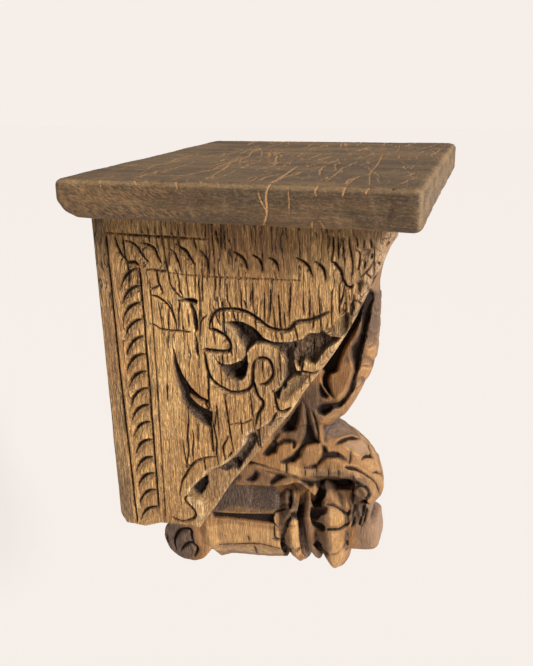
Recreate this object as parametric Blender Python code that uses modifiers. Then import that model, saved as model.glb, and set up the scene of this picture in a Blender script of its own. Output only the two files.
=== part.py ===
"""Carved wooden corbel bracket with a shelf board on top.

Metres, +Z up. The wall plane is Y = 0 and the front faces -Y. X runs along the wall and the
bracket is mirrored about X = 0. The origin is the middle of the bracket's wall face.
"""
import math

import bmesh
import bpy
from mathutils import Vector

# Shelf board
BOARD_LENGTH = 0.268
BOARD_DEPTH = 0.219
BOARD_THICK = 0.024
BOARD_TOP = 0.146
BOARD_ROUND = 0.004
BOARD_GAP = 0.0003

# Block between the two carved flanks
HALF_WIDTH = 0.0955
BLOCK_TOP = BOARD_TOP - BOARD_THICK - BOARD_GAP
BLOCK_BOTTOM = -0.1215
BLOCK_REACH = 0.200
NOSE_BOTTOM = 0.1105
SLOPE_TOP = (-0.1890, 0.0920)
SLOPE_BULGE = (-0.1544, 0.0160)
SLOPE_END = (-0.0997, -0.0579)
FOOT_FRONT = ((-0.0935, -0.0730), (-0.0847, -0.0951), (-0.0740, -0.1085), (-0.0660, -0.1150))
FOOT_UNDER = (-0.0560, -0.1120)

# Spine: the narrow leaf, scroll and neck on the middle plane
SPINE_HALF = 0.029
EAVE_HALF = 0.031
NECK_HALF = 0.013

# Slanting cuts down the front of the leaf
LEAF_VEINS = 5
LEAF_VEIN_TOP = (-0.1780, 0.0420)
LEAF_VEIN_BULGE = (-0.1838, 0.0060)
LEAF_VEIN_END = (-0.1655, -0.0340)

# Bud: a stalk that runs out from the wall under the scroll and lifts a little to the front
BUD_WALL_Z = -0.168
BUD_LIFT = math.radians(7.0)
BUD_SIDES = 16

# Flank relief
LINE_DEPTH = 0.0022
LINE_WIDTH = 0.0026
GOUGE_DEPTH = 0.0040
GROUND_DEPTH = 0.0060
ROPE_PITCH = 0.01335
ROPE_COUNT = 15
ROPE_TOP = 0.0785
FRIEZE_COUNT = 12
FRIEZE_FIRST = 0.0219
FRIEZE_PITCH = 0.0131

BRACKET_COLOUR = (0.36, 0.205, 0.085, 1.0)
BOARD_COLOUR = (0.085, 0.058, 0.036, 1.0)


def clear_scene():
    for item in list(bpy.data.objects):
        bpy.data.objects.remove(item, do_unlink=True)


def make_collection(name):
    group = bpy.data.collections.new(name)
    bpy.context.scene.collection.children.link(group)
    return group


def make_material(name, colour, roughness):
    material = bpy.data.materials.new(name)
    material.use_nodes = True
    shader = material.node_tree.nodes["Principled BSDF"]
    shader.inputs["Base Color"].default_value = colour
    shader.inputs["Roughness"].default_value = roughness
    shader.inputs["Metallic"].default_value = 0.0
    return material


def add_object(name, bm, group):
    """Close the bmesh's faces outwards and put it in the scene as one object."""
    bmesh.ops.recalc_face_normals(bm, faces=bm.faces)
    mesh = bpy.data.meshes.new(name)
    bm.to_mesh(mesh)
    bm.free()
    item = bpy.data.objects.new(name, mesh)
    group.objects.link(item)
    return item


def hide_cutter(item):
    item.hide_render = True
    item.display_type = "WIRE"


def smooth_curve(points, steps):
    """Points on a curve that passes smoothly through a few chosen points."""
    path = []
    last = len(points) - 1
    for i in range(last):
        before = Vector(points[max(i - 1, 0)])
        start = Vector(points[i])
        end = Vector(points[i + 1])
        after = Vector(points[min(i + 2, last)])
        for step in range(steps):
            t = step / steps
            path.append(0.5 * (2 * start + (end - before) * t
                               + (2 * before - 5 * start + 4 * end - after) * t * t
                               + (3 * start - before - 3 * end + after) * t * t * t))
    path.append(Vector(points[last]))
    return path


def bow(start, control, end, steps):
    """Points along one quadratic arc."""
    path = []
    for step in range(steps + 1):
        t = step / steps
        path.append(Vector(start) * (1 - t) ** 2 + Vector(control) * 2 * t * (1 - t)
                    + Vector(end) * t * t)
    return path


def circle_points(centre, radius, count, start=0.0, turn=2 * math.pi):
    points = []
    for i in range(count):
        angle = start + turn * i / count
        points.append((centre[0] + radius * math.cos(angle), centre[1] + radius * math.sin(angle)))
    return points


def loft(name, rings, group):
    """One closed skin over rings of points, with a flat cap on each end."""
    bm = bmesh.new()
    rows = [[bm.verts.new(point) for point in ring] for ring in rings]
    count = len(rows[0])
    for row, following in zip(rows, rows[1:]):
        for i in range(count):
            j = (i + 1) % count
            bm.faces.new((row[i], row[j], following[j], following[i]))
    bm.faces.new(rows[0])
    bm.faces.new(rows[-1])
    return add_object(name, bm, group)


def extrude_outline(name, outline, x_from, x_to, group):
    """A flat outline in the (y, z) plane, drawn out along X."""
    rings = [[(x, point[0], point[1]) for point in outline] for x in (x_from, x_to)]
    return loft(name, rings, group)


def block_outline():
    outline = [Vector((0.0, BLOCK_BOTTOM)), Vector((0.0, BLOCK_TOP)),
               Vector((-BLOCK_REACH, BLOCK_TOP)), Vector((-BLOCK_REACH, NOSE_BOTTOM))]
    outline += bow(SLOPE_TOP, SLOPE_BULGE, SLOPE_END, 8)
    outline += [Vector(point) for point in FOOT_FRONT]
    outline.append(Vector(FOOT_UNDER))
    return outline


def mix_outlines(inner, outer, share):
    return [a.lerp(b, share) for a, b in zip(inner, outer)]


def crowned_body(name, middle, side, half, power, stations, group):
    """A body whose outline changes from the middle plane to its two sides."""
    rings = []
    for i in range(-stations, stations + 1):
        t = abs(i) / stations
        outline = mix_outlines(middle, side, t ** power)
        rings.append([(half * i / stations, point.x, point.y) for point in outline])
    return loft(name, rings, group)


def make_leaf(group):
    """The long leaf that swells out of the sloping front."""
    middle = smooth_curve([(-0.1740, 0.0860), (-0.1770, 0.0560), (-0.1795, 0.0310),
                           (-0.1790, 0.0060), (-0.1745, -0.0130), (-0.1665, -0.0310),
                           (-0.1585, -0.0465), (-0.1480, -0.0590)], 2)
    side = smooth_curve([(-0.1700, 0.0800), (-0.1735, 0.0580), (-0.1700, 0.0370),
                         (-0.1675, 0.0100), (-0.1640, -0.0070), (-0.1590, -0.0200),
                         (-0.1525, -0.0300), (-0.1420, -0.0390)], 2)
    back = [Vector((-0.1050, -0.0450)), Vector((-0.1050, 0.0600))]
    return crowned_body("leaf", middle + back, side + back, SPINE_HALF, 2.0, 4, group)


def make_stem(group):
    """The short ribbed stem between the leaf and the scroll."""
    outline = [(-0.1430, -0.0200), (-0.1410, -0.0450), (-0.1440, -0.0720),
               (-0.1000, -0.0760), (-0.1000, -0.0150)]
    return extrude_outline("stem", outline, -0.0262, 0.0262, group)


def make_scroll(group):
    """The scroll leaf: a ridge on the middle plane that falls to a thick edge on each side."""
    ridge = smooth_curve([(-0.0850, -0.0400), (-0.1100, -0.0460), (-0.1320, -0.0500),
                          (-0.1500, -0.0550), (-0.1680, -0.0667), (-0.1812, -0.0826),
                          (-0.1876, -0.1010), (-0.1862, -0.1180), (-0.1790, -0.1290)], 2)
    edge = smooth_curve([(-0.0800, -0.0700), (-0.1000, -0.0770), (-0.1140, -0.0830),
                         (-0.1300, -0.0840), (-0.1500, -0.0805), (-0.1680, -0.0855),
                         (-0.1800, -0.0960), (-0.1838, -0.1050), (-0.1795, -0.1120)], 2)
    ridge_under = [Vector(p) for p in ((-0.1710, -0.1180), (-0.1600, -0.1040), (-0.1400, -0.1010),
                                       (-0.1200, -0.1030), (-0.0780, -0.1020))]
    edge_under = [Vector(p) for p in ((-0.1745, -0.1035), (-0.1640, -0.0925), (-0.1480, -0.0935),
                                      (-0.1270, -0.0985), (-0.0800, -0.0900))]
    return crowned_body("scroll", ridge + ridge_under, edge + edge_under, EAVE_HALF, 1.5, 5, group)


def make_lower_fold(group):
    """The thinner fold of leaf under the scroll, with a drooping tip."""
    upper = smooth_curve([(-0.0700, -0.0980), (-0.0980, -0.0960), (-0.1200, -0.0960),
                          (-0.1330, -0.1010), (-0.1400, -0.1110)], 2)
    lower = smooth_curve([(-0.1372, -0.1145), (-0.1310, -0.1090), (-0.1220, -0.1060),
                          (-0.1090, -0.1105), (-0.0700, -0.1170)], 2)
    return extrude_outline("lower_fold", upper + lower, -0.0275, 0.0275, group)


def make_neck(group):
    """The web that ties the scroll, the block and the bud together."""
    outline = [(-0.0040, -0.1150), (-0.0040, -0.1600), (-0.1500, -0.1450), (-0.1660, -0.1150),
               (-0.1400, -0.0900), (-0.0600, -0.0900)]
    return extrude_outline("neck", outline, -NECK_HALF, NECK_HALF, group)


def make_volute(name, centre, radius, half, group):
    """A round boss with its axis along X."""
    outline = circle_points(centre, radius, 14)
    return extrude_outline(name, outline, -half, half, group)


def bud_point(along, across, up):
    """A point given along the bud's own axis, which lifts towards the front."""
    y = -along * math.cos(BUD_LIFT) + up * math.sin(BUD_LIFT)
    z = BUD_WALL_Z + along * math.sin(BUD_LIFT) + up * math.cos(BUD_LIFT)
    return (across, y, z)


def eight_sided(along, half_x, half_z, corner=0.44):
    """An eight-sided section, its points doubled so that it joins the petalled ones."""
    corners = [(1, corner), (corner, 1), (-corner, 1), (-1, corner),
               (-1, -corner), (-corner, -1), (corner, -1), (1, -corner)]
    ring = []
    for i, (a, b) in enumerate(corners):
        c, d = corners[(i + 1) % 8]
        ring.append(bud_point(along, half_x * a, half_z * b))
        ring.append(bud_point(along, half_x * (a + c) / 2, half_z * (b + d) / 2))
    return ring


def petalled(along, half_x, half_z, valley):
    """A section with eight petals, each with a low valley beside it."""
    ring = []
    for i in range(BUD_SIDES):
        angle = math.pi / 8 + 2 * math.pi * i / BUD_SIDES
        reach = 1.0 if i % 2 else valley
        ring.append(bud_point(along, half_x * reach * math.cos(angle),
                              half_z * reach * math.sin(angle)))
    return ring


def make_bud(group):
    """Stalk, rings, petalled bud and square end, as one run of sections."""
    rings = [
        eight_sided(0.0260, 0.0270, 0.0330),
        eight_sided(0.0370, 0.0290, 0.0360),
        eight_sided(0.0450, 0.0310, 0.0420),
        eight_sided(0.0530, 0.0295, 0.0365),
        eight_sided(0.0800, 0.0292, 0.0370),
        eight_sided(0.1080, 0.0290, 0.0360),
        eight_sided(0.1100, 0.0255, 0.0320),
        petalled(0.1140, 0.0270, 0.0340, 0.93),
        petalled(0.1200, 0.0320, 0.0420, 0.86),
        petalled(0.1260, 0.0270, 0.0340, 0.92),
        eight_sided(0.1290, 0.0240, 0.0310),
        eight_sided(0.1340, 0.0290, 0.0370),
        eight_sided(0.1385, 0.0240, 0.0310),
        petalled(0.1430, 0.0270, 0.0350, 0.92),
        petalled(0.1560, 0.0330, 0.0455, 0.84),
        petalled(0.1650, 0.0290, 0.0390, 0.84),
        petalled(0.1690, 0.0240, 0.0300, 0.90),
        eight_sided(0.1700, 0.0185, 0.0215, 0.80),
        eight_sided(0.1830, 0.0190, 0.0215, 0.80),
        eight_sided(0.1860, 0.0160, 0.0190, 0.78),
    ]
    return loft("bud", rings, group)


def vee_cutter(name, path, width, depth, taper, group):
    """A groove cutter along a path on the near flank, with a diamond section."""
    rings = []
    last = len(path) - 1
    for i, point in enumerate(path):
        ahead = path[min(i + 1, last)] - path[max(i - 1, 0)]
        side = Vector((-ahead.y, ahead.x)).normalized()
        share = math.sin(math.pi * (i + 0.35) / (last + 0.7)) if taper else 1.0
        half = width / 2 * share
        deep = depth * share
        left = point + side * half * 1.6
        right = point - side * half * 1.6
        rings.append([(-HALF_WIDTH - deep * 0.6, left.x, left.y),
                      (-HALF_WIDTH + deep, point.x, point.y),
                      (-HALF_WIDTH - deep * 0.6, right.x, right.y),
                      (-HALF_WIDTH - deep * 1.6, point.x, point.y)])
    cutter = loft(name, rings, group)
    hide_cutter(cutter)
    return cutter


def pocket_cutter(name, outline, depth, group, face=HALF_WIDTH):
    """A flat-bottomed pocket sunk into the near side."""
    cutter = extrude_outline(name, outline, -face - 0.004, -face + depth, group)
    hide_cutter(cutter)
    return cutter


def border_cutters(group):
    """The lines of the border and the slanting gouges of its rope and frieze."""
    lines = [((-0.0104, 0.1060), (-0.0140, -0.1190)), ((-0.0330, 0.0820), (-0.0333, -0.1010)),
             ((-0.0104, 0.1055), (-0.0830, 0.1048)), ((-0.0370, 0.0815), (-0.1430, 0.0824))]
    for i, (start, end) in enumerate(lines):
        path = [Vector(start), Vector(end)]
        vee_cutter("line_%d" % i, path, LINE_WIDTH, LINE_DEPTH, False, group)
    for i in range(ROPE_COUNT):
        z = ROPE_TOP - ROPE_PITCH * i
        path = bow((-0.0178, z - 0.0135), (-0.0290, z - 0.0120), (-0.0316, z), 3)
        vee_cutter("rope_%d" % i, path, 0.0044, GOUGE_DEPTH, True, group)
    for i in range(FRIEZE_COUNT):
        y = -FRIEZE_FIRST - FRIEZE_PITCH * i
        path = bow((y, 0.0985), (y - 0.0065, 0.0975), (y - 0.0085, 0.0865), 3)
        vee_cutter("frieze_%d" % i, path, 0.0040, GOUGE_DEPTH, True, group)


def cloud_cutters(group):
    """The cloud scroll: its winding line, its hollows and its ringed eye."""
    outer = smooth_curve([(-0.1614, 0.0636), (-0.1399, 0.0545), (-0.1232, 0.0490),
                          (-0.1073, 0.0586), (-0.0860, 0.0574), (-0.0811, 0.0445),
                          (-0.0932, 0.0395), (-0.0919, 0.0300), (-0.0760, 0.0290),
                          (-0.0785, 0.0160), (-0.0917, 0.0004), (-0.1060, 0.0050),
                          (-0.1108, 0.0180)], 3)
    vee_cutter("cloud_line", outer, 0.0034, 0.0036, False, group)
    wedge = [(-0.0890, 0.0500), (-0.1040, 0.0500), (-0.1190, 0.0405), (-0.1040, 0.0440)]
    pocket_cutter("cloud_wedge", wedge, GROUND_DEPTH, group)
    hollow = [(-0.0810, 0.0290), (-0.0860, 0.0180), (-0.0950, 0.0095), (-0.1040, 0.0120),
              (-0.1065, 0.0200), (-0.1040, 0.0265), (-0.1010, 0.0180), (-0.0930, 0.0190)]
    pocket_cutter("cloud_hollow", hollow, GROUND_DEPTH, group)
    eye = [Vector(p) for p in circle_points((-0.1180, 0.0183), 0.0085, 14)]
    for i in range(2):
        arc = eye[7 * i:7 * i + 7] + [eye[(7 * i + 7) % 14]]
        vee_cutter("cloud_eye_%d" % i, arc, 0.0032, 0.0034, False, group)
    tail = smooth_curve([(-0.1118, 0.0020), (-0.1175, -0.0050), (-0.1132, -0.0141),
                         (-0.0954, -0.0228)], 2)
    vee_cutter("cloud_tail", tail, 0.0030, 0.0030, True, group)
    blade = smooth_curve([(-0.0532, 0.0239), (-0.0575, 0.0030), (-0.0700, -0.0115),
                          (-0.0798, -0.0155)], 2)
    vee_cutter("blade_cut", blade, 0.0062, 0.0060, True, group)


def ground_cutters(group):
    """The sunk ground between the cloud scroll, the scalloped field and the front edge."""
    upper = [(-0.1330, 0.0385), (-0.1398, 0.0420), (-0.1490, 0.0480), (-0.1560, 0.0493),
             (-0.1640, 0.0545), (-0.1600, 0.0430), (-0.1470, 0.0220), (-0.1329, 0.0003),
             (-0.1266, -0.0070), (-0.1235, -0.0030), (-0.1290, 0.0080), (-0.1325, 0.0200)]
    pocket_cutter("ground_upper", upper, GROUND_DEPTH, group)
    lower = [(-0.1235, -0.0115), (-0.1139, -0.0245), (-0.1046, -0.0310), (-0.1010, -0.0387),
             (-0.0923, -0.0477), (-0.0824, -0.0570), (-0.0736, -0.0630), (-0.0657, -0.0725),
             (-0.0576, -0.0848), (-0.0709, -0.0892), (-0.0800, -0.0910), (-0.0900, -0.0690),
             (-0.0955, -0.0560), (-0.1110, -0.0350)]
    pocket_cutter("ground_lower", lower, GROUND_DEPTH, group)
    inner = smooth_curve([(-0.0916, -0.0344), (-0.0868, -0.0435), (-0.0708, -0.0547),
                          (-0.0556, -0.0696), (-0.0514, -0.0885)], 2)
    vee_cutter("scallop_line", inner, 0.0026, 0.0022, True, group)
    foot = smooth_curve([(-0.0577, -0.0863), (-0.0565, -0.0925), (-0.0631, -0.1029),
                         (-0.0568, -0.1080), (-0.0450, -0.1083)], 2)
    vee_cutter("foot_line", foot, 0.0024, 0.0022, True, group)


def spine_cutters(group):
    """Grooves and hollows in the near side of the leaf, the stem and the scroll."""
    sunk = SPINE_HALF - 0.009
    outer_groove = [(-0.1745, 0.0640), (-0.1700, 0.0360), (-0.1680, 0.0100), (-0.1640, -0.0080),
                    (-0.1585, -0.0215), (-0.1500, -0.0310), (-0.1440, -0.0280),
                    (-0.1530, -0.0160), (-0.1585, -0.0020), (-0.1625, 0.0130), (-0.1670, 0.0420)]
    inner_groove = [(-0.1680, 0.0430), (-0.1600, 0.0230), (-0.1520, 0.0040), (-0.1450, -0.0090),
                    (-0.1480, -0.0200), (-0.1420, -0.0215), (-0.1330, -0.0060),
                    (-0.1400, 0.0080), (-0.1560, 0.0350)]
    stem_groove = [(-0.1335, -0.0300), (-0.1365, -0.0300), (-0.1375, -0.0620), (-0.1315, -0.0620)]
    for name, outline in (("leaf_outer", outer_groove), ("leaf_inner", inner_groove),
                          ("stem_groove", stem_groove)):
        pocket_cutter(name, outline, EAVE_HALF - sunk, group, EAVE_HALF)
    gouges = [((-0.1190, -0.0660), (-0.1180, -0.0780), (-0.1085, -0.0865)),
              ((-0.1435, -0.0660), (-0.1440, -0.0810), (-0.1300, -0.0875)),
              ((-0.1450, -0.0780), (-0.1540, -0.0700), (-0.1630, -0.0770)),
              ((-0.1590, -0.0640), (-0.1660, -0.0560), (-0.1760, -0.0610)),
              ((-0.1750, -0.0760), (-0.1820, -0.0680), (-0.1890, -0.0770))]
    for i, (start, control, end) in enumerate(gouges):
        path = bow(start, control, end, 4)
        rings = []
        for k, point in enumerate(path):
            half = 0.0024 * math.sin(math.pi * (k + 0.4) / 4.8)
            side = Vector((0.0, 1.0)) if abs(end[0] - start[0]) > 0.012 else Vector((1.0, 0.0))
            rings.append([(-0.045, point.x + side.x * half, point.y + side.y * half),
                          (-0.045, point.x - side.x * half, point.y - side.y * half),
                          (-0.006, point.x - side.x * half, point.y - side.y * half),
                          (-0.006, point.x + side.x * half, point.y + side.y * half)])
        hide_cutter(loft("scroll_gouge_%d" % i, rings, group))
    for i, centre in enumerate(((-0.1010, -0.1035), (-0.0830, -0.1030))):
        lens = [(centre[0] - 0.0045, centre[1] - 0.0050), (centre[0] + 0.0005, centre[1] - 0.0005),
                (centre[0] + 0.0045, centre[1] + 0.0045), (centre[0] - 0.0020, centre[1] + 0.0020)]
        pocket_cutter("fold_lens_%d" % i, lens, 0.012, group, 0.0335)


def chevron_cutters(group):
    """Pairs of slanting cuts that meet on the leaf's front like scales."""
    front = bow(LEAF_VEIN_TOP, LEAF_VEIN_BULGE, LEAF_VEIN_END, LEAF_VEINS)
    for i, point in enumerate(front):
        rings = []
        for across, rise, reach in ((-0.0260, 0.0085, 0.0035), (-0.0130, 0.0060, 0.0012),
                                    (-0.0012, 0.0, 0.0)):
            y = point.x + reach
            z = point.y + rise
            rings.append([(across, y - 0.0060, z + 0.0022), (across, y + 0.0026, z),
                          (across, y - 0.0060, z - 0.0022)])
        hide_cutter(loft("leaf_vein_%d" % i, rings, group))


def mirror_cutters(near, far):
    """The far side carries the same cuts, turned over about the middle plane."""
    for item in list(near.objects):
        mesh = item.data.copy()
        for vertex in mesh.vertices:
            vertex.co.x = -vertex.co.x
        mesh.flip_normals()
        copy = bpy.data.objects.new(item.name + "_far", mesh)
        far.objects.link(copy)
        hide_cutter(copy)


def add_boolean(item, operation, group, solver="EXACT"):
    modifier = item.modifiers.new(operation.lower() + "_" + group.name, "BOOLEAN")
    modifier.operation = operation
    modifier.operand_type = "COLLECTION"
    modifier.collection = group
    modifier.solver = solver
    return modifier


def make_bracket(group, adds, near, far):
    bracket = extrude_outline("carved_bracket", block_outline(), -HALF_WIDTH, HALF_WIDTH, group)
    make_leaf(adds)
    make_stem(adds)
    make_scroll(adds)
    make_lower_fold(adds)
    make_neck(adds)
    make_volute("scroll_volute", (-0.1740, -0.1040), 0.0062, 0.0285, adds)
    make_volute("wall_volute", (-0.0230, -0.1790), 0.0222, 0.0275, adds)
    make_bud(adds)
    for item in adds.objects:
        hide_cutter(item)
    border_cutters(near)
    cloud_cutters(near)
    ground_cutters(near)
    spine_cutters(near)
    chevron_cutters(near)
    mirror_cutters(near, far)
    add_boolean(bracket, "UNION", adds)
    # The exact solver leaves small open edges where many cuts meet
    add_boolean(bracket, "DIFFERENCE", near, "MANIFOLD")
    add_boolean(bracket, "DIFFERENCE", far, "MANIFOLD")
    bracket.data.materials.append(make_material("carved_wood", BRACKET_COLOUR, 0.62))
    return bracket


def make_board(group):
    bm = bmesh.new()
    bmesh.ops.create_cube(bm, size=1.0)
    bmesh.ops.scale(bm, vec=(BOARD_LENGTH, BOARD_DEPTH, BOARD_THICK), verts=bm.verts)
    bmesh.ops.translate(bm, vec=(0.0, -BOARD_DEPTH / 2, BOARD_TOP - BOARD_THICK / 2), verts=bm.verts)
    board = add_object("shelf_board", bm, group)
    rounding = board.modifiers.new("worn_edges", "BEVEL")
    rounding.width = BOARD_ROUND
    rounding.segments = 3
    rounding.limit_method = "ANGLE"
    board.data.materials.append(make_material("board_wood", BOARD_COLOUR, 0.7))
    return board


def main():
    clear_scene()
    parts = make_collection("wooden_corbel_bracket")
    adds = make_collection("bracket_bodies")
    near = make_collection("near_cutters")
    far = make_collection("far_cutters")
    make_bracket(parts, adds, near, far)
    make_board(parts)


main()
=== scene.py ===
"""Looks of a carved wooden corbel bracket with a shelf board on top.

Metres, +Z up. The wall plane is Y = 0, the front faces -Y and the bracket is mirrored about X = 0.
The two flanks, the block between them, the leaf and scroll on the middle plane and the bud under
it are modelled as separate dense meshes, carved by moving their vertices, and stained, worn and
painted with shade and highlights by attributes that the wood material reads.
"""
import math

import bmesh
import bpy
import numpy as np
from mathutils import Matrix, Vector


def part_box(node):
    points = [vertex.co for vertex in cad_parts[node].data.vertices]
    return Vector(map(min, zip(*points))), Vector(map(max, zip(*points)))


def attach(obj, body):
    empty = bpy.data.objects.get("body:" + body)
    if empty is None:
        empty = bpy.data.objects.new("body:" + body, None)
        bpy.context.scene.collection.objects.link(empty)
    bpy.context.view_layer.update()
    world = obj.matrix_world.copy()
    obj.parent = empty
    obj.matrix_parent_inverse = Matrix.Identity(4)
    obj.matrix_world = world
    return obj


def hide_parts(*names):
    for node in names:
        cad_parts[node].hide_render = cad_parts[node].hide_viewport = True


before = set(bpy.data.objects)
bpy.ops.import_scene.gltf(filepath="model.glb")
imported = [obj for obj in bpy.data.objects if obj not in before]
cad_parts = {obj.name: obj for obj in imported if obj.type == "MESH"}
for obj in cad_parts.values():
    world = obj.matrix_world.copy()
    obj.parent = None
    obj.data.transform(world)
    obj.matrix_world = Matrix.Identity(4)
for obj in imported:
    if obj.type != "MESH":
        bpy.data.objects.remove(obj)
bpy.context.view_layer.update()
BLOCK_LOW, BLOCK_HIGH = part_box("carved_bracket")
BOARD_LOW, BOARD_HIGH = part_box("shelf_board")

bl_info = {
    "name": "Carved Corbel Bracket",
    "version": (1, 0, 0),
    "blender": (4, 5, 0),
    "location": "View3D > Sidebar > Corbel",
    "description": "Builds a carved wooden corbel bracket with a worn shelf board",
    "category": "Object",
}

# Camera, as solved from the straight edges of the board and the block
EYE = (-0.5020, -0.2514, 0.2006)
SIGHT = (0.89527, 0.28747, -0.34038)
SIGHT_RIGHT = (0.299964, -0.953806, -0.016574)
SIGHT_DOWN = (-0.329420, -0.087263, -0.940142)
LENS_MM = 38.26
SENSOR_MM = 36.0
KEY_DIRECTION = (-0.42, -0.82, 0.40)
KEY_STRENGTH = 5.3
KEY_ANGLE = math.radians(20.0)
WORLD_STRENGTH = 0.36
KEY_COLOUR = (1.0, 0.975, 0.94)
WORLD_COLOUR = (1.0, 0.985, 0.965)
FLOOR_COLOUR = (0.902, 0.860, 0.836)
FLOOR_ROUGHNESS = 0.9
FLOOR_HALF = 12.0
PAPER_COLOUR = (0.92, 0.862, 0.813)

# Millimetres in a metre, and a number too small to matter
PER_METRE = 1000
TINY = 1e-9

# Side plane of the middle body, thickness of a flank, and how far the core runs into it
SPINE_SIDE = 0.029
FLANK_THICK = 0.014
CORE_OVERLAP = 0.003

# How far stain is measured from a cut on flat faces and on the rounded forms, and where points
# that the drawing must not reach are put
FAR_AWAY = 0.003
STAIN_REACH = 0.006
OUT_OF_SIGHT = 9.0

# A flank's grid is halved this near a cut, or this near the wall of a sunken field
REFINE_REACH = 0.0018
POCKET_WALL = 0.0015

# A flattened face's area and a loose speck's number of points stay under these
FLAT_AREA = 4e-9
CRUMB_POINTS = 200

# Waves of an uneven surface, the range of their sizes and their height together
RIPPLE_WAVES = 28
RIPPLE_SCALES = (0.6, 1.7)
RIPPLE_HEIGHT = 0.6

# Rounding of a flank's edge: the least, at the board's underside, the common one, and what the
# slope and the nose add
LEAST_ROUNDING = 0.0006
FLANK_ROUNDING = 0.0014
SLOPE_ROUNDING = 0.0024
SLOPE_UNEVEN = 0.0010
NOSE_ROUNDING = 0.0045
UNDER_BOARD = 0.004

# Widths of a flank's rubbed edge and of the duller band inside it, and where the wall's dark begins
EDGE_RUB = 0.0024
EDGE_BAND = 0.0042
WALL_BAND = -0.0125
FACE_SKIN = 1e-4

# Near flank, as (y, z) on its face
FLANK_UNDER = ((-0.0655, -0.1133), (-0.0586, -0.1118), (-0.0331, -0.1152), (-0.0209, -0.1204),
               (-0.0053, -0.1205), (-0.0005, -0.1120))
SLOPE_EDGE = ((-0.2000, 0.1105), (-0.1961, 0.1040), (-0.1932, 0.0966), (-0.1905, 0.0898),
              (-0.1855, 0.0785), (-0.1791, 0.0641), (-0.1747, 0.0540), (-0.1665, 0.0388),
              (-0.1575, 0.0245), (-0.1482, 0.0110), (-0.1428, 0.0025), (-0.1359, -0.0099),
              (-0.1271, -0.0232), (-0.1175, -0.0372), (-0.1080, -0.0500), (-0.0993, -0.0615),
              (-0.0893, -0.0754), (-0.0842, -0.0837), (-0.0789, -0.0931), (-0.0699, -0.1071))

# The far flank's slope is worn further back at its top
FAR_SLOPE = ((-0.1935, 0.1105), (-0.1868, 0.0940), (-0.1796, 0.0775), (-0.1742, 0.0690),
             (-0.1690, 0.0600), (-0.1662, 0.0530), (-0.1642, 0.0440), (-0.1622, 0.0350)) \
            + SLOPE_EDGE[8:]

# The rope border: its gouges from the top down, how they close up, the small cut above them, and
# how far the soft shadow of a gouge lies under it
ROPE_COUNT = 15
ROPE_TOP = 0.0830
ROPE_PITCH = 0.0116
ROPE_GROWTH = 0.00011
ROPE_START = ((-0.0232, 0.0862), (-0.0300, 0.0868), (-0.0330, 0.0850))
GOUGE_SHADOW = np.array((0.0, -0.0024))

# Short splits tried on the near flank
FINE_SPLITS = 120

# The middle of the scroll's curl, and the nicks along its band
CURL_EYE = (-0.1745, -0.1040)
BAND_NICKS = (-0.1135, -0.1290, -0.1385, -0.1480, -0.1560, -0.1675)

# Scales on the leaf's front, from the top down
SCALE_COUNT = 6
SCALE_TOP = 0.0480
SCALE_PITCH = 0.0170

# Room between the bud's stalk and the wall plane
WALL_GAP = 0.0002

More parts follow.
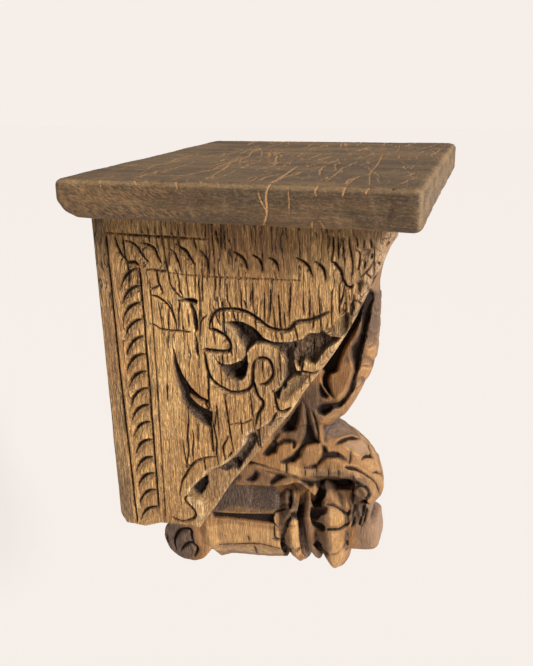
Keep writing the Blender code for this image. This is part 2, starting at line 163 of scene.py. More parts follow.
# The drawing of the carving, as runs of distance from the wall and height in tenths of a
# millimetre: on the flank's own face, and for the middle body and the bud where the line of sight
# meets their side plane
TENTH = 0.0001
FROM_WALL = (-TENTH, TENTH)
FLANK_DRAWING = {
    "wall_line": (104, 1051, 114, 5, 141, -1180),
    "rope_line": (330, 840, 335, 31, 333, -1012),
    "fillet_line": (399, 760, 397, 38, 383, -1117),
    "frieze_top": (103, 1059, 450, 1053, 830, 1051),
    "frieze_low": (385, 825, 738, 807, 1130, 814, 1431, 824),
    "cloud_line": (1614, 636, 1499, 571, 1399, 545, 1343, 487, 1232, 490, 1157, 541, 1073, 586,
        978, 597, 860, 574, 813, 494, 811, 445),
    "cloud_lobe": (811, 445, 865, 438, 932, 395, 954, 339, 919, 300, 758, 298),
    "blade_cut": (537, 312, 546, 233, 570, 133, 607, 25, 647, -60, 704, -114, 769, -144, 806, -154,
        803, -216, 785, -288, 748, -270, 697, -238, 647, -198, 605, -142, 572, -62, 548, 33, 533, 143),
    "cloud_wedge": (920, 503, 962, 514, 1017, 512, 1057, 502, 1098, 471, 1138, 447, 1178, 417,
        1218, 407, 1245, 396, 1177, 382, 1129, 378, 1094, 346, 1073, 316, 1058, 286, 1052, 328,
        1040, 362, 1027, 395, 1001, 442, 974, 474, 947, 492),
    "cloud_hollow": (839, 264, 859, 230, 894, 205, 951, 211, 994, 230, 1029, 248, 1051, 279, 1066, 308,
        1072, 274, 1063, 216, 1061, 151, 1039, 120, 996, 100, 954, 103, 919, 128, 885, 160, 858, 208),
    "cloud_belly": (768, 285, 772, 213, 783, 142, 809, 86, 851, 47, 901, 23, 950, 7, 1008, 14, 1058, 35,
        1087, 67, 1102, 113, 1104, 178, 1112, 236, 1127, 265),
    "cloud_ring": (1127, 265, 1175, 278, 1216, 268, 1236, 228, 1242, 172, 1220, 127, 1185, 94,
        1151, 90),
    "cloud_tail": (1103, 134, 1115, 64, 1128, 21, 1148, -13, 1169, -32, 1168, -69, 1146, -109,
        1124, -157, 1116, -218),
    "tail_mark": (934, -236, 993, -220, 1029, -215, 1088, -177),
    "ground_main": (1177, 389, 1218, 400, 1265, 398, 1365, 408, 1411, 426, 1444, 436, 1470, 465,
        1496, 484, 1541, 485, 1573, 501, 1625, 473, 1694, 470, 1663, 437, 1632, 420, 1600, 390,
        1568, 346, 1543, 296, 1523, 273, 1490, 276, 1457, 294, 1438, 278, 1431, 235, 1411, 247,
        1385, 286, 1378, 327, 1365, 346, 1351, 289, 1358, 234, 1398, 218, 1444, 216, 1431, 186,
        1377, 166, 1343, 127, 1336, 83, 1316, 66, 1295, 85, 1323, 131, 1337, 204, 1331, 266, 1305, 319,
        1271, 350, 1231, 374),
    "ground_facet": (1573, 501, 1618, 525, 1649, 561, 1692, 610, 1735, 640, 1742, 595, 1737, 543,
        1719, 502, 1694, 473, 1625, 473),
    "lobe_b_dip": (1350, 120, 1377, 159, 1431, 179, 1458, 154, 1444, 103, 1404, 77, 1350, 77),
    "lobe_c_line": (1240, 57, 1253, 8, 1266, -42, 1280, -84, 1321, -86, 1363, -51),
    "lobe_a_line": (1451, 300, 1444, 258, 1438, 222, 1471, 212, 1511, 209, 1550, 228),
    "crack_g": (1372, 395, 1378, 327, 1384, 265),
    "ground_step": (1273, -92, 1258, -139, 1236, -194, 1207, -243, 1179, -240, 1208, -190, 1244, -126),
    "ground_lower": (1300, -134, 1251, -155, 1165, -227, 1078, -277, 1041, -321, 1024, -386, 970, -464,
        908, -530, 846, -580, 784, -614, 737, -646, 711, -692, 654, -751, 603, -819, 576, -865,
        615, -875, 677, -898, 707, -935, 704, -996, 667, -1089, 697, -1136, 765, -1036, 849, -884,
        930, -753, 1010, -609, 1116, -497, 1205, -374, 1291, -254, 1348, -157),
    "dark_notch": (736, -655, 791, -621, 861, -581, 923, -531, 986, -446, 1032, -377, 1048, -312,
        1092, -298, 1120, -340, 1089, -423, 1035, -510, 996, -580, 965, -625, 920, -616, 874, -648,
        814, -634),
    "dark_hole": (923, -535, 968, -536, 982, -566, 958, -594, 929, -574),
    "dark_stain": (727, -689, 731, -763, 704, -826, 662, -884, 616, -867, 601, -844, 603, -810,
        654, -751, 695, -703),
    "scallop_inner": (827, -502, 758, -521, 696, -547, 648, -579, 607, -626, 572, -690, 536, -754,
        524, -815, 513, -876),
    "foot_line": (577, -865, 551, -904, 580, -941, 618, -977, 631, -1026, 597, -1067, 531, -1097,
        474, -1091, 435, -1072),
    "motif_top": (378, 824, 429, 828, 486, 825, 543, 828),
    "motif_post": (450, 829, 454, 782, 458, 741, 471, 715, 489, 668),
    "motif_bar": (396, 689, 434, 705, 464, 721),
    "motif_arc": (400, 648, 443, 644, 478, 626, 513, 601, 539, 561, 558, 514, 569, 465, 574, 423),
    "motif_base": (384, 449, 420, 438, 448, 419, 493, 416, 544, 413, 588, 417, 631, 414, 675, 418),
    "motif_side": (761, 816, 750, 748, 753, 681, 748, 578, 742, 467),
    "motif_stem": (602, 635, 606, 594, 595, 531, 591, 460, 581, 424),
    "motif_t": (601, 628, 660, 647, 702, 650, 737, 639, 729, 618, 686, 614, 644, 625),
    "motif_hollow": (665, 613, 684, 573, 688, 518, 692, 462, 703, 414, 726, 437, 729, 493, 719, 562,
        693, 615),
    "nose_line": (1624, 953, 1649, 942, 1661, 918, 1680, 889, 1693, 852, 1706, 828, 1719, 804,
        1743, 799, 1761, 819),
    "nose_triangle": (1773, 826, 1803, 847, 1821, 842, 1810, 804, 1799, 747, 1780, 783),
    "nose_patch": (1791, 1036, 1833, 1044, 1857, 1033, 1846, 1003, 1811, 989),
    "nose_ring": (1746, 679, 1758, 712, 1788, 714, 1807, 690, 1802, 658, 1784, 631, 1760, 610,
        1747, 647, 1746, 679),
    "ring_rim": (1176, 347, 1230, 332, 1291, 296, 1317, 229, 1309, 158, 1268, 81, 1212, 46),
    "band_rim": (840, 292, 822, 218, 848, 149, 902, 74, 987, 40, 1073, 73),
    "cap_rim": (904, 481, 958, 430, 998, 378, 1031, 326, 1046, 355),
    "foot_lit": (568, -867, 615, -875, 678, -890, 707, -927, 704, -996, 668, -1072, 665, -1124,
        632, -1148, 637, -1060, 650, -972, 596, -930),
    "lobe_rim": (1573, 461, 1536, 363, 1470, 288, 1431, 214, 1364, 178, 1323, 117, 1308, 58, 1267, -6),
    "scallop_rim": (1136, -231, 1078, -277, 1041, -313, 1024, -386, 970, -456, 909, -522, 847, -572,
        737, -638, 687, -704, 620, -790, 577, -857),
    "wedge_dark": (961, 513, 1044, 514, 1111, 486, 1151, 455, 1184, 417, 1245, 395, 1177, 396,
        1123, 390, 1096, 416, 1070, 461, 1016, 491),
    "hollow_dark": (1057, 272, 1070, 231, 1054, 157, 1025, 111, 975, 97, 947, 131, 991, 165, 1021, 211,
        1043, 242),
    "blade_dark": (541, 276, 558, 190, 596, 91, 651, 7, 722, -52, 780, -75, 764, -99, 776, -143,
        742, -95, 683, -72, 618, -34, 570, 35, 539, 129),
    "ground_side": (1150, 386, 1217, 379, 1278, 350, 1321, 299, 1330, 231, 1319, 145, 1288, 84,
        1246, 35, 1260, 1, 1287, -3, 1302, 57, 1330, 125, 1370, 172, 1411, 205, 1397, 252, 1381, 306,
        1378, 381, 1332, 397, 1245, 402),
    "lobe_shade": (1370, 172, 1451, 202, 1497, 193, 1431, 115, 1377, 37, 1328, -12, 1287, -10, 1302, 57,
        1330, 125),
}
SPINE_DRAWING = {
    "leaf_outer": (1737, 588, 1772, 591, 1794, 556, 1782, 497, 1765, 399, 1747, 293, 1728, 192,
        1709, 97, 1704, 18, 1684, -55, 1671, -120, 1658, -186, 1629, -239, 1600, -292, 1563, -338,
        1518, -344, 1480, -382, 1441, -412, 1395, -402, 1379, -362, 1425, -322, 1486, -302, 1547, -282,
        1592, -243, 1620, -175, 1641, -100, 1658, -26, 1653, 29, 1637, 82, 1631, 151, 1656, 192,
        1684, 241, 1696, 303, 1705, 387, 1705, 476, 1718, 543),
    "leaf_inner": (1765, 598, 1753, 531, 1721, 433, 1688, 340, 1626, 213, 1584, 131, 1556, 42,
        1535, -40, 1483, -70, 1469, -120, 1485, -183, 1509, -262, 1470, -226, 1431, -173, 1423, -101,
        1437, -51, 1391, -16, 1480, 160, 1586, 376, 1675, 547, 1716, 609),
    "leaf_pocket": (1400, -152, 1423, -166, 1447, -204, 1478, -249, 1455, -273, 1409, -270, 1389, -211),
    "stem_recess": (1269, -292, 1253, -378, 1245, -464, 1229, -544, 1205, -582, 1132, -601, 1084, -599,
        1133, -522, 1190, -429, 1238, -346),
    "lobe_shadow": (1100, -579, 1058, -682, 1066, -698, 1116, -660, 1173, -661, 1213, -668, 1213, -712,
        1196, -750, 1189, -689, 1123, -699, 1074, -733, 1057, -789, 990, -835, 931, -835, 974, -766,
        1033, -677),
    "stem_groove": (1277, -308, 1316, -387, 1332, -461, 1356, -534, 1389, -616, 1421, -655, 1357, -668,
        1301, -690, 1269, -739, 1257, -803, 1204, -856, 1130, -881, 1081, -880, 1122, -846, 1172, -807,
        1213, -756, 1245, -707, 1269, -659, 1293, -578, 1301, -482, 1293, -390),
    "rib_line": (1348, -391, 1372, -464, 1388, -547, 1397, -632),
    "lobe_right": (1421, -655, 1452, -680, 1477, -724, 1516, -714, 1555, -717, 1594, -741, 1634, -770,
        1587, -768, 1540, -763, 1485, -776, 1446, -795, 1414, -840, 1375, -882, 1318, -900, 1269, -899,
        1326, -872, 1382, -836, 1414, -778, 1429, -714),
    "crescent_a": (1531, -657, 1552, -618, 1611, -577, 1661, -559, 1733, -574, 1688, -588, 1629, -602,
        1578, -638),
    "crescent_b": (1739, -752, 1752, -720, 1776, -697, 1809, -691, 1839, -706, 1866, -733, 1825, -722,
        1794, -723, 1768, -730),
    "crescent_c": (1828, -849, 1863, -824, 1901, -856, 1866, -848),
    "curl_line": (1604, -845, 1620, -820, 1658, -814, 1705, -820, 1744, -840, 1784, -868, 1808, -899,
        1761, -872, 1706, -850, 1651, -850),
    "tick_down": (1656, -685, 1656, -732, 1653, -767, 1644, -801),
    "band_under": (937, -981, 1004, -979, 1088, -984, 1171, -997, 1253, -1006, 1375, -990, 1496, -961,
        1614, -932, 1677, -930, 1724, -949, 1771, -968, 1811, -996, 1828, -1047, 1807, -1096,
        1769, -1130, 1737, -1126, 1783, -1082, 1789, -1018, 1749, -989, 1694, -981, 1671, -1021,
        1648, -1025, 1577, -1028, 1473, -1037, 1473, -1092, 1450, -1151, 1418, -1212, 1361, -1223,
        1385, -1144, 1392, -1069, 1376, -1026, 1327, -1062, 1278, -1034, 1220, -998, 1154, -1000,
        1087, -1039, 1019, -1087, 985, -1112, 1003, -1053, 1046, -1000),
    "fold_gouge_a": (911, -1004, 901, -1052, 875, -1084, 823, -1102, 780, -1091, 806, -1068, 850, -1023,
        877, -981),
    "fold_gouge_b": (1113, -989, 1079, -1040, 1028, -1086, 994, -1111, 1003, -1053, 1046, -1000),
    "fold_left": (682, -1155, 727, -1100, 755, -1057, 729, -1052, 684, -1107, 637, -1182),
    "panel_field": (1439, -548, 1480, -489, 1522, -445, 1557, -415, 1584, -393, 1672, -444, 1750, -504,
        1800, -560, 1771, -582, 1721, -561, 1663, -547, 1602, -568, 1553, -592, 1514, -603, 1467, -579),
    "panel_two": (1595, -645, 1629, -617, 1697, -593, 1739, -602, 1783, -653, 1793, -688, 1751, -713,
        1700, -701, 1664, -678, 1630, -657),
    "crack_band": (1138, -875, 1142, -929, 1138, -975),
    "leaf_patch_a": (1747, 293, 1775, 295, 1798, 259, 1792, 213, 1772, 181, 1743, 186, 1734, 231),
    "leaf_patch_b": (1715, 152, 1744, 155, 1753, 109, 1740, 54, 1719, 12, 1707, 66),
    "leaf_patch_c": (1650, -147, 1678, -96, 1706, -45, 1700, -101, 1673, -177, 1644, -212),
    "leaf_scale_a": (1746, 308, 1775, 288, 1804, 275, 1839, 309),
    "leaf_scale_b": (1736, 185, 1765, 172, 1793, 190, 1813, 231, 1833, 278),
    "leaf_scale_c": (1712, 11, 1741, 22, 1777, 26, 1804, 76),
    "leaf_scale_d": (1790, 483, 1812, 455, 1839, 472),
    "leaf_scale_e": (1673, -193, 1695, -158, 1738, -121),
    "light_scroll": (1661, -593, 1766, -544, 1861, -665, 1912, -812, 1917, -951, 1883, -1064,
        1828, -1038, 1839, -912, 1790, -815, 1711, -758, 1648, -698),
    "light_lobe": (1600, -611, 1691, -589, 1770, -662, 1741, -718, 1648, -698),
    "light_band": (1105, -890, 1253, -902, 1495, -880, 1651, -820, 1746, -910, 1668, -905, 1496, -952,
        1253, -983, 1088, -965),
    "light_leaf": (1502, -296, 1648, -99, 1740, 54, 1802, 153, 1825, 94, 1752, -87, 1638, -295,
        1565, -421, 1442, -454),
    "light_fold": (1002, -1109, 1129, -1032, 1294, -1031, 1352, -1104, 1253, -1084, 1128, -1097,
        1018, -1153),
    "dark_stem": (1135, -309, 1253, -277, 1378, -229, 1456, -302, 1426, -456, 1349, -656, 1221, -711,
        1124, -637, 1009, -689, 944, -610, 1053, -438),
    "dark_cap": (1427, -499, 1519, -427, 1627, -479, 1705, -536, 1614, -566, 1522, -588, 1444, -625,
        1396, -580),
    "dark_tongue": (1687, 385, 1620, 166, 1564, 35, 1653, 29, 1707, 174, 1732, 306),
    "dark_leaf": (1766, 554, 1732, 299, 1701, 127, 1745, 132, 1796, 305, 1816, 529),
    "band_line": (1698, -835, 1745, -854, 1799, -885, 1849, -928, 1877, -976, 1886, -1023),
    "lit_crease": (1595, -649, 1628, -663, 1666, -682, 1702, -702, 1745, -714),
    "dark_cheek": (1246, -354, 1277, -249, 1331, -177, 1385, -138, 1416, -224, 1456, -293, 1532, -313,
        1600, -267, 1556, -355, 1488, -402, 1395, -427, 1317, -420),
    "dark_rim": (1572, -386, 1657, -442, 1734, -490, 1812, -563, 1879, -654, 1925, -775, 1930, -896,
        1903, -901, 1896, -793, 1859, -696, 1795, -607, 1720, -534, 1650, -485, 1573, -436),
    "dark_fold": (670, -997, 785, -922, 887, -934, 970, -985, 1062, -1025, 1120, -1079, 1002, -1118,
        830, -1148, 700, -1123),
    "dark_front": (1765, 612, 1835, 588, 1843, 384, 1829, 194, 1757, 187, 1718, 67, 1672, 124,
        1724, 336),
    "dark_throat": (1351, -904, 1573, -868, 1777, -905, 1827, -1020, 1784, -1127, 1675, -1156,
        1577, -1046, 1400, -1040, 1253, -1066),
}
BUD_DRAWING = {
    "dark_gap": (1345, -1396, 1395, -1381, 1444, -1400, 1470, -1447, 1429, -1470, 1370, -1448),
    "dark_bell": (1383, -962, 1692, -910, 1683, -1010, 1656, -1050, 1601, -1051, 1529, -1068,
        1473, -1069, 1392, -1060),
    "upper_stain": (767, -1216, 820, -1197, 836, -1252, 825, -1330, 773, -1330, 739, -1288),
    "stalk_groove": (482, -1453, 600, -1441, 823, -1408, 1015, -1363, 1050, -1337, 1023, -1409,
        1031, -1476, 927, -1477, 777, -1481, 598, -1495, 489, -1511),
    "stalk_line": (532, -1776, 634, -1750, 816, -1707, 922, -1695, 1037, -1702, 1115, -1705),
    "ring_line": (1031, -1476, 1030, -1544, 1038, -1612),
    "ring_knot": (1003, -1619, 1047, -1600, 1090, -1601, 1072, -1630, 1037, -1632),
    "bead_edge": (1135, -1292, 1084, -1321, 1041, -1358, 1015, -1411, 1023, -1458, 1065, -1489),
    "ring_shadow_a": (1145, -1084, 1187, -1068, 1203, -1093, 1195, -1187, 1178, -1285, 1152, -1299,
        1136, -1217),
    "ring_shadow_b": (1261, -1083, 1294, -1068, 1286, -1190, 1278, -1332, 1270, -1477, 1278, -1622,
        1296, -1727, 1270, -1693, 1253, -1578, 1244, -1434, 1236, -1312, 1253, -1196),
    "ring_shadow_c": (1169, -1334, 1236, -1302, 1261, -1345, 1245, -1396, 1211, -1374, 1177, -1399,
        1143, -1473, 1116, -1567, 1124, -1644, 1150, -1668, 1132, -1722, 1106, -1737, 1089, -1651,
        1090, -1562, 1108, -1470, 1135, -1398),
    "ring_shadow_d": (1141, -1670, 1176, -1683, 1175, -1752, 1149, -1778, 1114, -1765, 1115, -1715),
    "ring_shadow_e": (1278, -1622, 1227, -1672, 1201, -1697, 1227, -1711, 1261, -1665),
    "bud_shadow_a": (1343, -1087, 1392, -1033, 1448, -1032, 1473, -1064, 1458, -1131, 1426, -1192,
        1434, -1228, 1369, -1249, 1344, -1179),
    "bud_shadow_b": (1344, -1244, 1467, -1203, 1483, -1237, 1468, -1287, 1419, -1315, 1386, -1378,
        1428, -1379, 1461, -1411, 1445, -1462, 1404, -1451, 1353, -1403, 1336, -1321),
    "petal_line_a": (1458, -1191, 1515, -1190, 1564, -1204, 1605, -1233, 1637, -1264, 1660, -1214),
    "petal_line_b": (1453, -1436, 1519, -1423, 1584, -1406, 1624, -1370, 1655, -1317),
    "bud_low_shadow": (1363, -1604, 1422, -1651, 1473, -1709, 1489, -1656, 1447, -1597, 1396, -1549),
    "volute_dark": (1671, -1021, 1702, -988, 1764, -978, 1811, -996, 1836, -1046, 1815, -1103,
        1769, -1139, 1729, -1128, 1775, -1092, 1797, -1043, 1780, -1002, 1734, -1010, 1704, -1051,
        1690, -1117, 1675, -1174, 1658, -1104),
    "splinter_a": (1683, -1173, 1706, -1159, 1700, -1216, 1677, -1238),
    "splinter_b": (1754, -1160, 1777, -1146, 1779, -1210, 1757, -1279, 1743, -1337, 1727, -1331,
        1748, -1243),
    "splinter_c": (1701, -1271, 1695, -1328, 1672, -1370, 1678, -1303),
    "splinter_d": (1786, -1190, 1801, -1169, 1781, -1274, 1759, -1343),
    "pin_hole": (1635, -1510, 1651, -1506, 1652, -1544, 1636, -1548),
    "crack_low": (851, -1720, 868, -1767, 876, -1786),
    "crack_mid": (800, -1630, 807, -1679),
    "light_petal": (1511, -1458, 1657, -1401, 1646, -1633, 1583, -1793, 1507, -1780, 1481, -1707,
        1513, -1602),
    "light_upper": (1499, -1225, 1621, -1240, 1646, -1291, 1632, -1368, 1494, -1405),
    "light_neck": (1497, -1042, 1624, -1038, 1651, -1179, 1629, -1238, 1515, -1194),
    "light_ring": (1168, -1439, 1219, -1391, 1253, -1520, 1261, -1694, 1218, -1783, 1167, -1674),
    "light_stalk": (420, -1605, 642, -1532, 926, -1526, 1116, -1527, 1123, -1743, 921, -1786,
        650, -1803, 463, -1863, 394, -1753),
    "dark_petal": (1354, -1480, 1494, -1452, 1513, -1602, 1473, -1709, 1354, -1616),
    "dark_upper": (1369, -1212, 1499, -1207, 1486, -1406, 1386, -1387),
    "dark_ring": (1278, -1135, 1344, -1151, 1362, -1459, 1363, -1712, 1304, -1725, 1287, -1474),
    "dark_side": (1094, -1177, 1170, -1136, 1253, -1196, 1253, -1385, 1168, -1401, 1099, -1511,
        1066, -1421),
    "dark_stalk": (585, -1143, 831, -1120, 1120, -1089, 1118, -1334, 929, -1360, 701, -1363, 425, -1503,
        486, -1383),
    "dark_splinter": (1659, -1150, 1752, -1106, 1801, -1151, 1772, -1248, 1712, -1352, 1655, -1326),
    "dark_knob": (1680, -1359, 1789, -1273, 1919, -1202, 1893, -1125, 1799, -1115, 1740, -1217),
    "dark_volute": (-15, -1628, 138, -1629, 288, -1651, 325, -1819, 290, -1952, 190, -2016, 56, -1991,
        -11, -1835),
    "light_volute": (188, -1743, 265, -1717, 270, -1799, 220, -1841, 184, -1806),
    "light_eye": (198, -1887, 257, -1854, 263, -1916, 213, -1958, 186, -1932),
    "volute_curl": (120, -1914, 106, -1822, 141, -1732, 191, -1691, 267, -1676, 273, -1747, 297, -1825),
    "volute_slit": (43, -1762, 39, -1825, 44, -1888),
    "volute_low": (158, -1917, 200, -1855, 260, -1812, 306, -1833, 322, -1872, 290, -1952),
}
# Splits and cuts of the near flank: a width, then a run
SPLITS = (
    (24, 233, 1077, 231, 984, 232, 910, 247, 843, 247, 761, 241, 691, 257, 623),
    (16, 507, 1103, 509, 1044, 518, 966, 526, 887, 542, 801, 551, 734, 584, 689, 618, 657, 659, 640),
    (12, 416, 1118, 419, 1066, 422, 1014),
    (14, 732, 1055, 737, 1017, 749, 979),
    (22, 884, 1120, 889, 1069, 900, 1032),
    (14, 703, 414, 715, 358, 718, 294, 730, 238),
    (24, 761, 284, 772, 213, 783, 142, 786, 46, 782, -36, 784, -142),
    (18, 789, -202, 792, -295, 795, -380, 799, -467),
    (16, 802, -223, 814, -307, 825, -391, 821, -487, 832, -565),
    (20, 899, -14, 904, -88, 915, -178, 926, -276, 937, -367, 949, -443),
    (14, 917, -323, 900, -365, 876, -407, 874, -463, 887, -517),
    (13, 620, -132, 622, -240, 606, -368, 608, -480, 594, -579, 607, -626),
    (13, 648, -315, 651, -393, 638, -491, 641, -563),
    (13, 720, -527, 725, -574, 731, -622),
    (10, 566, -406, 574, -525, 591, -629),
    (17, 940, 668, 965, 610, 984, 557, 1003, 511),
    (10, 522, 629, 548, 590, 559, 535, 577, 480),
    (12, 594, 838, 611, 772, 614, 705, 639, 659),
    (14, 1056, 670, 1074, 618),
    (13, 1237, 750, 1236, 671, 1228, 564),
    (13, 1289, 715, 1294, 623, 1300, 517, 1306, 422),
    (13, 1386, 531, 1405, 472, 1411, 426),
    (10, 838, -97, 826, -197, 815, -276),
    (12, 1009, -188, 1014, -248, 1020, -293),
    (12, 1092, -298, 1105, -373, 1118, -417),
    (12, 716, 251, 706, 329),
    (10, 795, 541, 751, 495, 746, 397),
    (10, 942, -445, 910, -489),
    (10, 841, 620, 865, 533, 891, 480),
    (10, 918, 455, 943, 373, 967, 277),
    (8, 1173, 185, 1175, 270),
)
NOSE_CUTS = (
    (16, 1730, 1111, 1731, 1057, 1744, 997, 1752, 936, 1753, 875),
    (15, 1634, 1106, 1635, 1027, 1624, 953),
    (15, 1609, 1111, 1604, 1032),
    (12, 1664, 1107, 1665, 1041, 1666, 974),
    (13, 1706, 822, 1701, 777, 1695, 733, 1684, 687),
    (20, 1767, 1035, 1792, 1012, 1793, 963, 1789, 914),
    (16, 1882, 981, 1865, 943, 1837, 905, 1808, 872),
    (14, 1829, 965, 1824, 922),
    (14, 1831, 898, 1850, 875, 1863, 851),
    (18, 1869, 1016, 1864, 986),
    (18, 1900, 958, 1907, 940),
    (18, 1949, 1062, 1960, 1087),
    (15, 1897, 884, 1875, 840, 1864, 802),
    (10, 1694, 1103, 1696, 1018, 1710, 934),
    (10, 1772, 1107, 1779, 1047),
    (12, 1854, 1099, 1862, 1046),
    (12, 1819, 1097, 1815, 1043),
)
FRIEZE = (
    (172, 1048, 174, 994, 190, 942, 216, 903, 251, 878),
    (249, 1012, 291, 1000, 325, 969, 350, 930, 377, 898, 404, 880),
    (364, 1004, 406, 993, 440, 975, 459, 943, 471, 911, 497, 872),
    (547, 974, 581, 957, 599, 918, 617, 873, 629, 834),
    (605, 1010, 638, 986, 672, 962, 691, 930, 717, 899, 729, 880),
    (776, 974, 795, 943, 814, 911, 818, 866, 830, 827),
    (999, 980, 1058, 937, 1088, 870),
    (1124, 968, 1170, 928, 1187, 863),
    (1227, 955, 1273, 924, 1291, 870),
    (1406, 965, 1471, 921, 1507, 852),
    (1525, 947, 1571, 905, 1588, 839),
    (1636, 948, 1679, 900, 1694, 827),
)
# Pale veins and splits of the board: a width, then a run, which on top is x and the distance from
# the wall
ON_TOP = (TENTH, -TENTH)
BOARD_SKIN = 0.0042
TOP_VEINS = (
    (16, -506, 1298, -762, 1317, -949, 1332, -1163, 1347, -1283, 1349),
    (10, -914, 1777, -1086, 1764, -1242, 1768),
    (9, 308, 1723, -84, 1763, -425, 1791, -631, 1793, -433, 1741),
    (7, -630, 1799, -904, 1833, -1220, 1887),
    (9, -510, 1601, -711, 1612, -941, 1625, -1151, 1632),
    (7, -20, 1343, 128, 1441, 347, 1486, 660, 1521),
    (8, 182, 833, 332, 834, 340, 895, 133, 996),
    (8, -797, 823, -589, 791, -299, 769, 26, 744),
    (7, -1157, 916, -932, 897, -580, 844, -409, 838),
    (6, -1285, 913, -1231, 977, -1057, 983, -772, 968),
    (7, -235, 775, -42, 752, -405, 865, -616, 960),
    (6, -948, 529, -741, 537, -460, 522, -279, 490),
    (6, 798, 573, 477, 738, -85, 911),
    (6, 462, 1790, 695, 1789, 1120, 1741),
    (6, -939, 1879, -1135, 1927),
    (6, -694, 1426, -481, 1451, -129, 1467),
    (6, -1058, 1459, -1005, 1516, -866, 1542),
    (6, -630, 1799, -809, 1864, -977, 1902),
    (6, -63, 1895, -285, 1975, -382, 2049),
    (6, -1270, 1206, -1188, 1214, -1019, 1194),
    (5, 347, 1486, 722, 1365, 1165, 1310),
    (5, 332, 834, -199, 1014, -421, 1131, -295, 1186),
)
NEAR_VEINS = (
    (13, 1367, 1468, 1350, 1430, 1343, 1376, 1348, 1328, 1341, 1273, 1317, 1222),
    (8, 1298, 1424, 1314, 1370, 1342, 1322),
    (10, 1787, 1474, 1771, 1448, 1767, 1411),
    (9, 1907, 1467, 1892, 1446, 1888, 1425),
    (12, 1639, 1274, 1656, 1248, 1667, 1216),
    (11, 511, 1486, 535, 1464, 564, 1436),
    (9, 797, 1470, 808, 1448, 824, 1415),
    (8, 322, 1464, 326, 1441, 336, 1418),
    (8, 1627, 1459, 1616, 1433, 1622, 1407),
    (7, 1467, 1434, 1473, 1381, 1472, 1305),
    (8, 1601, 1267, 1595, 1218),
    (7, 230, 1473, 240, 1445),
    (7, 1050, 1460, 1072, 1439),
)
NEAR_SPLITS = (
    (12, 2039, 1501, 2030, 1470, 2021, 1450),
    (16, 1873, 1220, 1895, 1210, 1916, 1217),
    (16, 1317, 1222, 1322, 1205),
    (15, 1667, 1216, 1673, 1200),
)


def as_path(points):
    """Points as rows of two, from pairs or from one flat run of numbers."""
    return np.array(points, float).reshape(-1, 2)


def drawn(numbers):
    """A run of the drawing as y and z in metres."""
    return as_path(numbers) * FROM_WALL


def circle(centre, radius, count, closed=False):
    """Points round a circle, with the first one again at the end if it is closed."""
    turns = np.linspace(0.0, 2 * math.pi, count, endpoint=closed)
    return np.array(centre) + radius * np.stack([np.cos(turns), np.sin(turns)], 1)


def spline(points, steps=6):
    """Points on a curve that passes smoothly through a few chosen points."""
    knots = as_path(points)
    if len(knots) < 3:
        return knots
    padded = np.vstack([knots[:1], knots, knots[-1:]])
    t = (np.arange(steps) / steps)[:, None]
    runs = []
    for before, start, end, after in zip(padded, padded[1:], padded[2:], padded[3:]):
        runs.append(0.5 * (2 * start + (end - before) * t
                           + (2 * before - 5 * start + 4 * end - after) * t ** 2
                           + (3 * start - before - 3 * end + after) * t ** 3))
    return np.vstack(runs + [knots[-1:]])


def arc_bow(start, end, sag):
    """A shallow arc from start to end that bows sideways by sag."""
    along = np.subtract(end, start)
    side = np.array((-along[1], along[0])) / np.linalg.norm(along)
    t = np.linspace(0.0, 1.0, 7)[:, None]
    return np.array(start) + along * t + side * sag * 4 * t * (1 - t)


def closest_on_path(points, path):
    """Distance, share of the way along, side and nearest place on a path for every point."""
    best = np.full(len(points), np.inf)
    share = np.zeros(len(points))
    side = np.zeros(len(points))
    place = np.zeros((len(points), 2))
    lengths = np.linalg.norm(np.diff(path, axis=0), axis=1)
    total = max(lengths.sum(), TINY)
    walked = 0.0
    for start, end, length in zip(path, path[1:], lengths):
        step = end - start
        reach = points - start
        t = np.clip(reach @ step / max(length * length, TINY ** 2), 0.0, 1.0)
        foot = start + t[:, None] * step
        away = points - foot
        distance = np.hypot(away[:, 0], away[:, 1])
        closer = distance < best
        best = np.where(closer, distance, best)
        share = np.where(closer, (walked + t * length) / total, share)
        side = np.where(closer, np.sign(step[0] * reach[:, 1] - step[1] * reach[:, 0]), side)
        place = np.where(closer[:, None], foot, place)
        walked += length
    return best, share, side, place


def inside_distance(points, outline):
    """Distance to a closed outline, positive inside it, and the nearest place on it."""
    closed = np.vstack([outline, outline[:1]])
    distance, _, _, place = closest_on_path(points, closed)
    inside = np.zeros(len(points), bool)
    for start, end in zip(closed, closed[1:]):
        spans = (start[1] > points[:, 1]) != (end[1] > points[:, 1])
        rise = end[1] - start[1] if end[1] != start[1] else TINY
        crossing = start[0] + (points[:, 1] - start[1]) * (end[0] - start[0]) / rise
        inside ^= spans & (points[:, 0] < crossing)
    return np.where(inside, distance, -distance), place


def ripple(points, wavelength, seed, stretch=1.0):
    """Smooth random unevenness from about -1 to 1, longer along the last axis by stretch."""
    rng = np.random.default_rng(seed)
    total = np.zeros(len(points))
    for _ in range(RIPPLE_WAVES):
        direction = rng.normal(size=points.shape[1])
        direction /= np.linalg.norm(direction)
        direction[-1] /= stretch
        scale = rng.uniform(*RIPPLE_SCALES) * 2 * math.pi / wavelength
        total += np.sin(points @ (direction * scale) + rng.uniform(0, 2 * math.pi))
    return total / math.sqrt(RIPPLE_WAVES / 2) * RIPPLE_HEIGHT


def dents(points, depth, wavelength, seed, stretch=1.0):
    """Uneven depths, on average the depth given and seldom less than nothing."""
    return depth * (1 + ripple(points, wavelength, seed, stretch))


def soft_step(share):
    """0 up to no share and 1 from the whole, with a smooth change between."""
    share = np.clip(share, 0.0, 1.0)
    return share * share * (3 - 2 * share)


def ramp(values, start, length):
    """0 up to the start and 1 from a length past it, with a smooth change between."""
    return soft_step((values - start) / length)


def bell(distance, width):
    """1 at no distance, fading away over about twice the width."""
    return np.exp(-(distance / width) ** 2)


